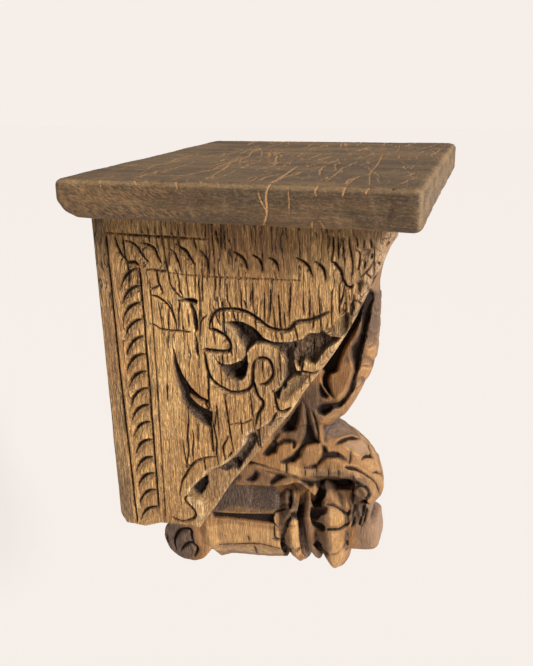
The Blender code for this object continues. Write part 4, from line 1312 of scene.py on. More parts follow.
def make_spine(name, voxel):
    """The leaf, the stem and the scroll, with their deep hollows first and the fine cuts after."""
    forms = [make_leaf_form(), make_stem_form(), make_scroll_form(), make_fold_form(),
             make_neck_form(), make_boss_form("scroll_boss", CURL_EYE, 0.0066, 0.0285)]
    item = weld_forms(name, forms, voxel)
    mesh = item.data
    places = neighbours_mean(mesh, places_of(mesh), 2)
    relief = Relief(sight_points(places), SPINE_DRAWING, faces_eye(mesh, places, -0.10))
    carve_spine_deep(relief)
    places += sight_lines(places) * relief.depth()[:, None]
    move_to(mesh, places)
    item = remesh(item, voxel)
    mesh = item.data
    places = places_of(mesh)
    relief = Relief(sight_points(places), SPINE_DRAWING, faces_eye(mesh, places, 0.15),
                    reach=STAIN_REACH)
    carve_spine_deep(relief)
    relief.cut[:] = 0.0
    relief.floor[:] = 0.0
    carve_spine_fine(relief)
    leaf_front_scales(places, relief)
    depth = relief.depth() + 0.00022 * ripple(places, 0.009, 31, 1.5)
    places -= normals_of(mesh) * depth[:, None]
    move_to(mesh, places)
    shade_hollows(mesh, relief)
    return item


def shade_hollows(mesh, relief):
    """Attributes for the wood: drawn stain and tone, painted shade that darkens the shape's own
    hollows, and paler wear on its ridges.
    """
    fine = hollowness(mesh, 5) * PER_METRE
    broad = hollowness(mesh, 60) * PER_METRE
    # Painted shade: the deeper a point lies below its smoothed surroundings, the darker its tone, as
    # occlusion would make it
    hollow_shade = np.clip(np.maximum(fine * 2.8, broad * 1.5), 0.0, 1.0)
    ridge = np.clip(np.maximum(-fine * 1.1, -broad * 0.22), 0.0, 0.55)
    worn = np.clip(relief.worn + ridge * (1 - hollow_shade), 0.0, 1.0)
    tone = np.clip(np.maximum(relief.tone, hollow_shade), 0.0, 1.0)
    write_fields(mesh, relief, worn, tone, relief.grey)


BUD_WALL_Z = -0.168
BUD_LIFT = math.radians(7.0)
# Along the axis, half width, half height, share of petal form, depth of the valleys
BUD_STATIONS = ((0.0260, 0.0270, 0.0330, 0.0, 0.00), (0.0360, 0.0285, 0.0350, 0.0, 0.00),
                (0.0440, 0.0312, 0.0420, 0.0, 0.00), (0.0480, 0.0308, 0.0405, 0.0, 0.00),
                (0.0540, 0.0293, 0.0382, 0.0, 0.00), (0.0800, 0.0290, 0.0388, 0.0, 0.00),
                (0.1060, 0.0288, 0.0378, 0.0, 0.00), (0.1075, 0.0262, 0.0325, 0.2, 0.05),
                (0.1095, 0.0262, 0.0325, 1.0, 0.10), (0.1150, 0.0300, 0.0385, 1.0, 0.14),
                (0.1200, 0.0322, 0.0425, 1.0, 0.16), (0.1240, 0.0300, 0.0390, 1.0, 0.12),
                (0.1265, 0.0240, 0.0305, 0.5, 0.05), (0.1290, 0.0240, 0.0305, 0.0, 0.00),
                (0.1310, 0.0280, 0.0362, 0.0, 0.00), (0.1345, 0.0292, 0.0380, 0.0, 0.00),
                (0.1370, 0.0272, 0.0350, 0.0, 0.00), (0.1380, 0.0240, 0.0305, 0.5, 0.05),
                (0.1395, 0.0245, 0.0315, 1.0, 0.10), (0.1440, 0.0300, 0.0410, 1.0, 0.14),
                (0.1490, 0.0332, 0.0478, 1.0, 0.16), (0.1535, 0.0325, 0.0450, 1.0, 0.16),
                (0.1580, 0.0290, 0.0385, 1.0, 0.15), (0.1620, 0.0200, 0.0260, 1.0, 0.10))
PETAL_VALLEYS = (-115.0, -65.0, -27.0, 11.0, 42.0, 75.0, 105.0, 138.0, 169.0, 207.0, 245.0)
KNOB_HALF = (0.0190, 0.0142)
KNOB_DROP = -0.0060
KNOB_FROM = 0.1560
KNOB_TO = 0.1868


def bud_frame(along, across, up):
    y = -along * math.cos(BUD_LIFT) + up * math.sin(BUD_LIFT)
    z = BUD_WALL_Z + along * math.sin(BUD_LIFT) + up * math.cos(BUD_LIFT)
    return np.stack([across, y, z], 1)


def octagon_reach(turn):
    """Radius of an eight-sided section with its flats at the sides, against its circle."""
    share = (turn + math.pi / 8) % (math.pi / 4) - math.pi / 8
    sharp = math.cos(math.pi / 8) / np.cos(share)
    return 0.12 * 0.97 + 0.88 * sharp


def petal_reach(turn, valley):
    """Radius of a section whose petals bulge between narrow valleys."""
    degrees = np.degrees(turn)
    degrees = np.where(degrees < PETAL_VALLEYS[0], degrees + 360, degrees)
    degrees = np.where(degrees > PETAL_VALLEYS[-1], degrees - 360, degrees)
    marks = np.array(PETAL_VALLEYS)
    spot = np.clip(np.searchsorted(marks, degrees) - 1, 0, len(marks) - 2)
    share = (degrees - marks[spot]) / (marks[spot + 1] - marks[spot])
    return 1 - valley * (1 - np.sin(math.pi * np.clip(share, 0, 1)) ** 0.45)


def make_bud_form():
    stations = np.array(BUD_STATIONS)

    def place(around, along):
        turn = around * 2 * math.pi - math.pi
        reach = stations[0, 0] + along * (stations[-1, 0] - stations[0, 0])
        half_x, half_z, petal, valley = (np.interp(reach, stations[:, 0], stations[:, k])
                                         for k in (1, 2, 3, 4))
        radius = (1 - petal) * octagon_reach(turn) * 1.03 + petal * petal_reach(turn, valley)
        return bud_frame(reach, half_x * radius * np.cos(turn), half_z * radius * np.sin(turn))

    return wrapped_grid("bud_body", 220, 200, place)


def make_knob_form():
    """The plain square block that ends the bud, its corners worn round."""
    def place(around, along):
        turn = around * 2 * math.pi - math.pi
        reach = KNOB_FROM + (KNOB_TO - KNOB_FROM) * np.clip(along / 0.80, 0, 1)
        last = np.clip((along - 0.45) / 0.35, 0.0, 1.0)
        closing = np.clip((along - 0.80) / 0.20, 0.0, 1.0)
        across = (1 - 0.20 * last ** 4) * (1 - closing)
        upright = (1 - 0.22 * last ** 4) * (1 - closing)
        cosine, sine = np.cos(turn), np.sin(turn)
        square = (np.abs(cosine) ** 6 + np.abs(sine) ** 6) ** (-1 / 6)
        return bud_frame(reach, KNOB_HALF[0] * square * cosine * across,
                         KNOB_DROP + KNOB_HALF[1] * square * sine * upright)

    return wrapped_grid("knob", 90, 48, place)


def carve_bud(relief):
    """Cuts, shadow pockets painted dark, splinters, and tones of the stalk, the rings, the bud and the
    wall volute; the tones are mostly painted shade and painted highlights.
    """
    relief.pocket("stalk_groove", 0.0046, 0.0020, ease=0.0010, black=0.0005, rim=0.3)
    for name, depth, wall in (
            ("ring_knot", 0.0034, 0.0014), ("ring_shadow_a", 0.0070, 0.0024),
            ("ring_shadow_b", 0.0060, 0.0024), ("ring_shadow_c", 0.0050, 0.0024),
            ("ring_shadow_d", 0.0036, 0.0020), ("bud_low_shadow", 0.0028, 0.0020),
            ("volute_dark", 0.0040, 0.0018), ("splinter_a", 0.0034, 0.0012),
            ("splinter_b", 0.0034, 0.0012), ("splinter_c", 0.0034, 0.0012),
            ("splinter_d", 0.0034, 0.0012), ("pin_hole", 0.0020, 0.0008)):
        relief.pocket(name, depth, wall, ease=0.0008, black=0.0011, tone=0.6, rim=0.2)
    relief.pocket("bud_shadow_a", 0.0062, 0.0040, ease=0.0008, black=0.0022, tone=0.8, rim=0.0)
    relief.pocket("bud_shadow_b", 0.0060, 0.0036, ease=0.0008, tone=0.50, rim=0.0)
    relief.pocket("ring_shadow_e", 0.0012, 0.0020, sunk=False, tone=0.8, rim=0.0)
    relief.pocket("upper_stain", 0.0006, 0.0030, sunk=False, grey=0.3, rim=0.0)
    relief.grooves((
        ("stalk_line", 0.0026, 0.0016, 0.10, 0.30, 0.3),
        ("ring_line", 0.0022, 0.0014, 0.10, 0.40, 0.0),
        ("bead_edge", 0.0030, 0.0022, 0.10, 0.40, 0.4),
        ("crack_low", 0.0022, 0.0014, 0.30, 0.40, 0.0),
        ("crack_mid", 0.0020, 0.0012, 0.30, 0.30, 0.0),
        ("petal_line_a", 0.0034, 0.0028, 0.10, 0.32, 0.5),
        ("petal_line_b", 0.0034, 0.0028, 0.10, 0.32, 0.5),
        ("volute_curl", 0.0050, 0.0044, 0.30, 0.46, 0.0),
        ("volute_low", 0.0046, 0.0036, 0.25, 0.46, 0.0),
        ("volute_slit", 0.0030, 0.0020, 0.40, 0.40, 0.0)))
    # The dark shapes are painted shade on faces turned from the light, in the bell under the scroll,
    # over the stalk, in the gap and on the volute
    for name, share in (
            ("dark_petal", 0.55), ("dark_upper", 0.50), ("dark_ring", 0.55),
            ("dark_side", 0.75), ("dark_stalk", 1.00), ("dark_splinter", 0.92),
            ("dark_knob", 0.60), ("dark_volute", 0.94), ("dark_bell", 0.88),
            ("dark_gap", 1.0)):
        relief.shade(name, tone=share, soft=0.007)
    # The light shapes are painted highlights on the lit faces of the petals, neck, ring, stalk and
    # volute
    for name, share in (
            ("light_petal", 0.42), ("light_upper", 0.50), ("light_neck", 0.35),
            ("light_ring", 0.65), ("light_stalk", 0.60), ("light_volute", 0.8),
            ("light_eye", 0.9)):
        relief.shade(name, worn=share)


def make_bud(name, voxel):
    """The stalk with its wall volute, the rings, the petalled bud and its broken square end."""
    web = drawn((300, -1050, 150, -1300, 150, -1700, 450, -1700, 800, -1350, 800, -1050))
    stub = drawn((1450, -1500, 1450, -1150, 1640, -1120, 1740, -1180, 1800, -1290, 1790, -1420,
            1680, -1550))
    wall_boss = make_boss_form("wall_boss", (-0.0230, -0.1790), 0.0222, 0.0275)
    foot = plain_body("bud_foot", web, 0.0240)
    broken = plain_body("broken_stub", stub, 0.0150)
    item = weld_forms(name, [make_bud_form(), make_knob_form(), wall_boss, foot, broken], voxel)
    mesh = item.data
    places = neighbours_mean(mesh, places_of(mesh), 2)
    move_to(mesh, places)
    relief = Relief(sight_points(places), BUD_DRAWING, faces_eye(mesh, places, 0.05),
                    reach=STAIN_REACH)
    carve_bud(relief)
    ragged = ramp(-places[:, 1], 0.1600, 0.0030) * ramp(places[:, 2], -0.1450, 0.006)
    ragged *= ramp(places[:, 1], -0.1790, 0.0050)
    depth = relief.depth() + 0.00020 * ripple(places, 0.010, 41, 1.5)
    depth += 0.0007 * ragged * ripple(places, 0.0050, 43, 3.0)
    places -= normals_of(mesh) * depth[:, None]
    places[:, 1] = np.minimum(places[:, 1], -WALL_GAP)
    move_to(mesh, places)
    # Painted shadow of the scroll on the top of the stalk, and darker, greyer wood on the knob and the
    # ragged stub
    above = ramp(places[:, 2] + 0.10 * (places[:, 1] + 0.08), -0.1440, 0.004)
    stalk = above * (places[:, 1] > -0.112)
    knob = ramp(-places[:, 1], 0.168, 0.004)
    relief.grey = np.maximum(relief.grey, 0.78 * knob)
    relief.tone = np.maximum.reduce([relief.tone, 0.6 * stalk, 0.50 * ragged, 0.42 * knob])
    shade_hollows(mesh, relief)
    return item


def along_line(share, least):
    """Narrower towards both ends of a line, down to least."""
    return at_least(np.sin(math.pi * np.clip(share, 0, 1)) ** 0.5, least)


def draw_lines(field, places, chosen, axes, lines):
    """Marks on a field how far inside each line's half width the chosen points lie."""
    spots = np.nonzero(chosen)[0]
    flat = places[spots][:, axes]
    for path, half, least in lines:
        distance, share, _, _ = closest_on_path(flat, path)
        lift(field, spots, half * along_line(share, least) - distance)


def table_lines(table, scale=FROM_WALL):
    return [(spline(as_path(numbers) * scale, 4), 0.42 * width * TENTH, 0.4)
            for width, *numbers in table]


# Distance between the board's mesh points along x, y and z, and the rounding of its edges
BOARD_GRID = (0.0026, 0.00080, 0.00085)
BOARD_ROUNDING = 0.0050

# Chips along the board's ends, the width of its rubbed edges, and how far its low corner by the
# wall is worn back and up
CHIP_DEPTH = 0.0007
CHIP_REACH = 0.006
BOARD_RUB = 0.0030
CORNER_BACK = 0.0035
CORNER_UP = 0.0022
WANDERING_VEINS = 105


def make_board(name):
    """The board on top: one slab with worn edges, dents and split grain."""
    low, high = BOARD_LOW, BOARD_HIGH
    size = high - low
    bm = bmesh.new()
    bmesh.ops.create_cube(bm, size=1.0)
    bmesh.ops.scale(bm, vec=size, verts=bm.verts)
    bmesh.ops.translate(bm, vec=(low + high) / 2, verts=bm.verts)
    bmesh.ops.bevel(bm, geom=bm.edges, offset=BOARD_ROUNDING, offset_type="OFFSET", segments=5,
                    profile=0.5, affect="EDGES", material=-1)
    for axis, spacing in enumerate(BOARD_GRID):
        long = [edge for edge in bm.edges
                if abs(edge.verts[0].co[axis] - edge.verts[1].co[axis]) > size[axis] * 0.5]
        bmesh.ops.subdivide_edges(bm, edges=long, cuts=int(size[axis] / spacing),
                                  use_grid_fill=True)
    item = object_from(name, bm)
    shape_board(item.data)
    return item


def wandering_veins():
    """Thin pale cracks that cross the board's top, most of them near its worn front half."""
    rng = np.random.default_rng(29)
    for _ in range(WANDERING_VEINS):
        x, y = rng.uniform(-0.130, 0.110), -rng.uniform(0.030, 0.212)
        long = rng.uniform(0.012, 0.052)
        lean = rng.uniform(-0.30, 0.22)
        bends = rng.uniform(-0.0016, 0.0016, 6)
        share = np.linspace(0.0, 1.0, 6)
        knots = np.stack([x + share * long, y + share * long * lean + bends], 1)
        yield spline(knots, 2), rng.uniform(0.00060, 0.00110)


def shape_board(mesh):
    """Wears the board's edges, opens its splits and drops its corner by the wall."""
    places = places_of(mesh)
    normals = normals_of(mesh)
    depth = dents(places, 0.00022, 0.060, seed=51) + dents(places, 0.00007, 0.006, seed=53)
    ends = np.minimum(BOARD_HIGH.x - np.abs(places[:, 0]), places[:, 1] - BOARD_LOW.y)
    chips = soft_step(1 - ends / CHIP_REACH) * np.clip(ripple(places, 0.018, seed=55), 0, 1)
    depth += CHIP_DEPTH * chips
    vein, split = np.full((2, len(places)), -FAR_AWAY)
    top = places[:, 2] > BOARD_HIGH.z - BOARD_SKIN
    near = places[:, 0] < BOARD_LOW.x + BOARD_SKIN
    wandering = [(path, 0.5 * width, 0.3) for path, width in wandering_veins()]
    draw_lines(vein, places, top, (0, 1), table_lines(TOP_VEINS, ON_TOP) + wandering)
    draw_lines(vein, places, near, (1, 2), table_lines(NEAR_VEINS))
    draw_lines(split, places, near, (1, 2), table_lines(NEAR_SPLITS))
    low_corner = ramp(places[:, 1], -0.016, 0.013) * (places[:, 0] < 0.0)
    low_corner *= ramp(-places[:, 2], -(BOARD_LOW.z + 0.013), 0.012)
    depth += 0.0006 * ramp(split, -0.0006, 0.0012) + 0.0004 * ramp(vein, -0.0004, 0.001)
    places -= normals * np.maximum(depth, 0.0)[:, None]
    places[:, 1] -= CORNER_BACK * low_corner
    places[:, 2] += CORNER_UP * low_corner
    places[:, 2] = np.maximum(places[:, 2], BOARD_LOW.z)
    places[:, 1] = np.minimum(places[:, 1], 0.0)
    move_to(mesh, places)
    inward = np.stack([BOARD_HIGH.x - np.abs(places[:, 0]), places[:, 1] - BOARD_LOW.y,
                       BOARD_HIGH.z - places[:, 2]], 1)
    set_field(mesh, "ink", split * PER_METRE)
    set_field(mesh, "vein", vein * PER_METRE)
    set_field(mesh, "sunk", np.full(len(places), -FAR_AWAY * PER_METRE))
    set_field(mesh, "worn", bell(np.sort(inward, axis=1)[:, 1], BOARD_RUB))
    set_field(mesh, "tone", np.zeros(len(places)))
    set_field(mesh, "grey", np.zeros(len(places)))


def new_group(name, numbers, masks):
    """An empty shader group that takes a vector and some numbers, and gives masks."""
    group = bpy.data.node_groups.new(name, "ShaderNodeTree")
    sockets = group.interface
    sockets.new_socket("Vector", in_out="INPUT", socket_type="NodeSocketVector")
    for label, value in numbers.items():
        socket = sockets.new_socket(label, in_out="INPUT", socket_type="NodeSocketFloat")
        socket.default_value = value
    for label in masks:
        sockets.new_socket(label, in_out="OUTPUT", socket_type="NodeSocketFloat")
    given = group.nodes.new("NodeGroupInput").outputs
    made = group.nodes.new("NodeGroupOutput").inputs
    return group, given, made


def wire(tree, source, target):
    tree.links.new(source, target)


def feed(tree, socket, value):
    """A socket takes a link or a plain value."""
    if isinstance(value, bpy.types.NodeSocket):
        tree.links.new(value, socket)
    else:
        socket.default_value = value


def maths(tree, operation, a, b=None, c=None, clamp=False):
    node = tree.nodes.new("ShaderNodeMath")
    node.operation = operation
    node.use_clamp = clamp
    for socket, value in zip(node.inputs, (a, b, c)):
        if value is not None:
            feed(tree, socket, value)
    return node.outputs[0]


def times(tree, a, b):
    return maths(tree, "MULTIPLY", a, b)


def times_plus(tree, a, b, c, clamp=False):
    return maths(tree, "MULTIPLY_ADD", a, b, c, clamp)


def spread(tree, value, low, high, to_low=0.0, to_high=1.0):
    """A value taken from one range to another, held at the ends."""
    node = tree.nodes.new("ShaderNodeMapRange")
    node.interpolation_type = "SMOOTHSTEP"
    for socket, number in zip(node.inputs, (value, low, high, to_low, to_high)):
        feed(tree, socket, number)
    return node.outputs[0]


def blend_colour(tree, share, first, second):
    """One colour laid over another. A colour is a socket or three numbers."""
    node = tree.nodes.new("ShaderNodeMix")
    node.data_type = "RGBA"
    feed(tree, node.inputs["Factor"], share)
    for socket, colour in ((node.inputs[6], first), (node.inputs[7], second)):
        linked = isinstance(colour, bpy.types.NodeSocket)
        feed(tree, socket, colour if linked else colour4(colour))
    return node.outputs[2]


def layered(tree, wood, layers):
    """Wood with colours laid over it in turn, each by a mask and an amount."""
    for mask, amount, colour in layers:
        wood = blend_colour(tree, times(tree, mask, amount), wood, colour)
    return wood


def noise_mask(tree, vector, scale, low, high, detail=3.0, rough=0.55):
    """A mask from noise, 0 below low and 1 above high."""
    return spread(tree, noise(tree, vector, scale, detail, rough), low, high)


def object_place(tree):
    return tree.nodes.new("ShaderNodeTexCoord").outputs["Object"]


def axes_of(tree, vector):
    node = tree.nodes.new("ShaderNodeSeparateXYZ")
    wire(tree, vector, node.inputs[0])
    return node.outputs


def noise(tree, vector, scale, detail=3.0, rough=0.55, distort=0.0):
    node = tree.nodes.new("ShaderNodeTexNoise")
    wire(tree, vector, node.inputs["Vector"])
    node.inputs["Scale"].default_value = scale
    node.inputs["Detail"].default_value = detail
    node.inputs["Roughness"].default_value = rough
    node.inputs["Distortion"].default_value = distort
    return node.outputs[0]


def stretched(tree, scale):
    """Object coordinates drawn out along the grain."""
    node = tree.nodes.new("ShaderNodeMapping")
    node.inputs["Scale"].default_value = scale
    wire(tree, object_place(tree), node.inputs["Vector"])
    return node.outputs[0]


def scaled_vector(tree, vector, factors):
    """A vector times three numbers, or times one number from a socket."""
    node = tree.nodes.new("ShaderNodeVectorMath")
    by_socket = isinstance(factors, bpy.types.NodeSocket)
    node.operation = "SCALE" if by_socket else "MULTIPLY"
    wire(tree, vector, node.inputs[0])
    feed(tree, node.inputs["Scale"] if by_socket else node.inputs[1], factors)
    return node.outputs[0]


def rotated_vector(tree, vector, axis, degrees):
    node = tree.nodes.new("ShaderNodeVectorRotate")
    node.rotation_type = axis
    node.inputs["Angle"].default_value = math.radians(degrees)
    wire(tree, vector, node.inputs["Vector"])
    return node.outputs[0]


def attribute(tree, name):
    """One of the piece's own attributes, as a number."""
    node = tree.nodes.new("ShaderNodeAttribute")
    node.attribute_name = name
    return node.outputs["Fac"]


def wavy_lines(tree, vector):
    """Closely set wandering lines along the grain, as a number from 0 to 1."""
    node = tree.nodes.new("ShaderNodeTexWave")
    node.wave_type = "BANDS"
    node.bands_direction = "X"
    node.wave_profile = "SIN"
    for label, value in (("Scale", 180.0), ("Distortion", 7.0), ("Detail", 2.0),
                         ("Detail Scale", 1.1), ("Detail Roughness", 0.6)):
        node.inputs[label].default_value = value
    wire(tree, vector, node.inputs["Vector"])
    return node.outputs["Fac"]


def make_grain_group():
    """Long fibres with darker pores and open checks. Its outputs are masks and a height."""
    group, given, made = new_group("long_grain", {"Fineness": 1.0, "Checks": 0.5},
                                   ("Streak", "Fibre", "Check", "Height"))
    vector = scaled_vector(group, given["Vector"], given["Fineness"])
    streak = spread(group, noise(group, vector, 480.0, 3.0, 0.6, 0.2), 0.40, 0.62)
    fibre = noise_mask(group, vector, 1250.0, 0.40, 0.62, 2.0, 0.7)
    patch = noise_mask(group, vector, 170.0, 0.44, 0.58, 3.0, 0.6)
    slanted = rotated_vector(group, scaled_vector(group, vector, (1.0, 1.0, 2.6)), "Z_AXIS", -30.0)
    thin = spread(group, wavy_lines(group, slanted), 0.150, 0.020)
    check = times(group, times(group, thin, patch), given["Checks"])
    height = times_plus(group, streak, -0.4, times(group, fibre, -0.60))
    height = times_plus(group, check, -1.6, height)
    wire(group, streak, made["Streak"])
    wire(group, fibre, made["Fibre"])
    wire(group, check, made["Check"])
    wire(group, height, made["Height"])
    return group


def make_stain_wear_and_shade_group():
    """Stain in cuts, sunken ground and wear on edges, from the piece's own attributes, with the painted
    shade and painted highlights that they also carry.

    Reach is how far, in millimetres, the cuts darken the wood beside them: stain, and on the waxed
    carving painted shade as well.
    """
    # The group also carries painted shade (Tone, Halo, Ink) and painted highlights (Worn)
    group, given, made = new_group("stain_wear_and_painted_shade", {"Fuzz": 1.0, "Reach": 1.5},
                                   ("Ink", "Halo", "Ground", "Worn", "Tone", "Grey"))
    fine, wide = (times(group, maths(group, "SUBTRACT",
                                     noise(group, given["Vector"], scale, 3.0, 0.6), 0.5),
                        given["Fuzz"]) for scale in (640.0, 190.0))
    drawn_ink = attribute(group, "ink")
    ink = times_plus(group, wide, 0.9, times_plus(group, fine, 2.4, drawn_ink))
    halo = maths(group, "DIVIDE", times_plus(group, wide, 2.2, drawn_ink), given["Reach"])
    ground = times_plus(group, fine, 1.6, attribute(group, "sunk"))
    worn = times_plus(group, fine, 1.1, attribute(group, "worn"))
    wire(group, spread(group, ink, -0.45, 0.35), made["Ink"])
    wire(group, spread(group, halo, -1.0, 0.15), made["Halo"])
    wire(group, spread(group, ground, -0.1, 1.0), made["Ground"])
    wire(group, spread(group, worn, 0.15, 0.95), made["Worn"])
    wire(group, times_plus(group, fine, 0.6, attribute(group, "tone"), clamp=True), made["Tone"])
    wire(group, attribute(group, "grey"), made["Grey"])
    return group


def new_material(name):
    material = bpy.data.materials.new(name)
    material.use_nodes = True
    return material, material.node_tree, material.node_tree.nodes["Principled BSDF"]


def add_bump(tree, shader, height, strength, distance):
    bump = tree.nodes.new("ShaderNodeBump")
    bump.inputs["Strength"].default_value = strength
    bump.inputs["Distance"].default_value = distance
    wire(tree, height, bump.inputs["Height"])
    wire(tree, bump.outputs["Normal"], shader.inputs["Normal"])


def place_group(tree, group, **values):
    node = tree.nodes.new("ShaderNodeGroup")
    node.node_tree = group
    for label, value in values.items():
        feed(tree, node.inputs[label], value)
    return node.outputs


def colour4(colour):
    return (colour[0], colour[1], colour[2], 1.0)


def make_carved_wood(name, settings, grain, wear, rawness):
    """Aged hardwood: golden on the worn faces and painted highlights, darker where shade is painted,
    nearly black in the cuts and deep shaded hollows.

    rawness is 1 on the dry flanks, whose grain has opened, and less on the smooth waxed carving.
    """
    material, tree, shader = new_material(name)
    dry = rawness > 0.5
    even = stretched(tree, (1.0, 1.0, 0.6))
    height_up = axes_of(tree, object_place(tree))["Z"]
    open_above = spread(tree, height_up, -0.060, 0.070, 0.45 * rawness, rawness)
    lines = place_group(tree, grain, Vector=stretched(tree, (1.0, 1.0, 0.12)), Fineness=1.0,
                        Checks=open_above)
    marks = place_group(tree, wear, Vector=stretched(tree, (1.0, 1.0, 0.40)),
                        Fuzz=0.4 + 0.6 * rawness, Reach=1.3 if dry else 4.6)
    broad = noise_mask(tree, even, 26.0, 0.34, 0.66, 4.0)
    patches = noise_mask(tree, even, 75.0, 0.50, 0.74, 4.0, 0.6)
    specks = noise_mask(tree, stretched(tree, (1.0, 1.0, 0.7)), 900.0, 0.50, 0.68, 2.0, 0.7)
    ruddy = noise_mask(tree, stretched(tree, (1.0, 1.0, 0.35)), 34.0, 0.48, 0.70)
    smooth = times_plus(tree, marks["Grey"], -0.65, 1.0, clamp=True)
    light = settings.wood_light if dry else settings.waxed_light
    middle = settings.wood_mid if dry else settings.waxed_mid
    worn = settings.wood_worn if dry else settings.waxed_worn
    patchy = settings.ground if dry else settings.wood_dark
    dark = settings.wood_dark
    ground = blend_colour(tree, lines["Fibre"], settings.ground, settings.stain)
    # Worn lays on wear and painted highlights; Halo, Tone and Ink lay on stain together with painted
    # shade
    wood = layered(tree, blend_colour(tree, broad, light, middle), (
        (ruddy, 0.42, settings.wood_ruddy),
        (patches, 0.30 if dry else 0.50, patchy),
        (marks["Grey"], 0.75, settings.wood_grey),
        (marks["Worn"], 0.75, worn),
        (times(tree, lines["Streak"], smooth), 0.26 + 0.16 * rawness, dark),
        (times(tree, lines["Fibre"], smooth), 0.20 + 0.36 * rawness, dark),
        (specks, 0.26 + 0.02 * rawness, dark),
        (marks["Halo"], 0.70, dark),
        (marks["Ground"], 0.60, ground),
        (marks["Tone"], 0.94, ground),
        (times(tree, lines["Check"], smooth), 0.90, settings.stain),
        (marks["Ink"], 0.95, settings.stain)))
    wire(tree, wood, shader.inputs["Base Color"])
    rough = times_plus(tree, lines["Fibre"], 0.16, 0.40 + 0.12 * rawness)
    wire(tree, rough, shader.inputs["Roughness"])
    shine = times_plus(tree, marks["Ink"], -0.28, 0.30)
    wire(tree, shine, shader.inputs["Specular IOR Level"])
    add_bump(tree, shader, lines["Height"], 0.42 + 0.53 * rawness, 0.0009)
    return material


def board_scores(tree, place, axes, broad):
    """Masks of the board's near side, which is painted darker as shade, and of the slanting saw marks
    on its wall end.
    """
    slanted = scaled_vector(tree, rotated_vector(tree, place, "X_AXIS", -32.0), (1.0, 0.16, 1.0))
    scores = noise_mask(tree, slanted, 1500.0, 0.46, 0.60, 1.0, 0.5)
    at_wall = spread(tree, times_plus(tree, broad, 0.03, axes["Y"]), -0.085, -0.035)
    near_side = spread(tree, axes["X"], -0.1300, -0.1330)
    return near_side, times(tree, times(tree, scores, at_wall), near_side)


def board_veins(tree, even, axes):
    """A mask of the pale cracks: the drawn ones, and thin wandering ones on the top."""
    wander = noise(tree, stretched(tree, (0.25, 1.0, 1.0)), 70.0, 3.0, 0.60, 0.5)
    away = maths(tree, "ABSOLUTE", maths(tree, "SUBTRACT", wander, 0.5))
    thin = times(tree, spread(tree, away, 0.0120, 0.0030),
                 noise_mask(tree, even, 46.0, 0.43, 0.56, 2.0))
    thin = times(tree, thin, spread(tree, axes["Z"], 0.1440, 0.1455))
    fuzz = maths(tree, "SUBTRACT", noise(tree, even, 620.0, 3.0, 0.6), 0.5)
    marked = spread(tree, times_plus(tree, fuzz, 1.3, attribute(tree, "vein")), -0.40, 0.25)
    return maths(tree, "MAXIMUM", times(tree, thin, 0.65), marked)


def make_board_wood(name, settings, grain, wear):
    """Weathered board: warm brown, blotched black, with fine pale cracks across its grain."""
    material, tree, shader = new_material(name)
    even = stretched(tree, (1.0, 1.0, 1.0))
    place = object_place(tree)
    axes = axes_of(tree, place)
    lines = place_group(tree, grain, Vector=stretched(tree, (1.0, 0.10, 1.0)), Fineness=0.8,
                        Checks=0.30)
    marks = place_group(tree, wear, Vector=even, Fuzz=0.6)
    broad = noise_mask(tree, stretched(tree, (1.0, 0.22, 2.4)), 40.0, 0.38, 0.62, 4.0)
    specks = noise_mask(tree, stretched(tree, (1.0, 0.5, 1.0)), 900.0, 0.46, 0.62, 3.0, 0.7)
    blots = noise_mask(tree, stretched(tree, (1.0, 0.22, 2.6)), 46.0, 0.50, 0.66, 5.0, 0.6)
    ruddy = noise_mask(tree, stretched(tree, (1.0, 0.30, 1.6)), 30.0, 0.46, 0.66)
    near_side, scores = board_scores(tree, place, axes, broad)
    veins = board_veins(tree, even, axes)
    plain = blend_colour(tree, broad, settings.board_light, settings.board_dark)
    wood = layered(tree, plain, (
        (ruddy, 0.40, settings.board_ruddy),
        (lines["Streak"], 0.40, settings.board_dark),
        (lines["Fibre"], 0.40, settings.stain),
        (specks, 0.30, settings.board_worn),
        (blots, 0.32, settings.stain),
        # The near side is painted darker with the stain colour as painted shade
        (near_side, 0.44, settings.stain),
        (scores, 0.24, settings.board_crack),
        (marks["Worn"], 0.55, settings.board_worn),
        (veins, 0.72, settings.board_crack),
        (marks["Ink"], 0.90, settings.stain)))
    wire(tree, wood, shader.inputs["Base Color"])
    wire(tree, times_plus(tree, specks, 0.2, 0.50), shader.inputs["Roughness"])
    shader.inputs["Specular IOR Level"].default_value = 0.30
    height = times_plus(tree, veins, -0.8, lines["Height"])
    add_bump(tree, shader, times_plus(tree, specks, 0.4, height), 0.6, 0.0005)
    return material


def length_setting(name, description, default, least=0.0004):
    return bpy.props.FloatProperty(name=name, description=description, default=default,
                                   min=least, unit="LENGTH", precision=5)


def colour_setting(name, description, default):
    return bpy.props.FloatVectorProperty(name=name, description=description, default=default,
                                         subtype="COLOR", size=3, min=0.0, max=1.0)


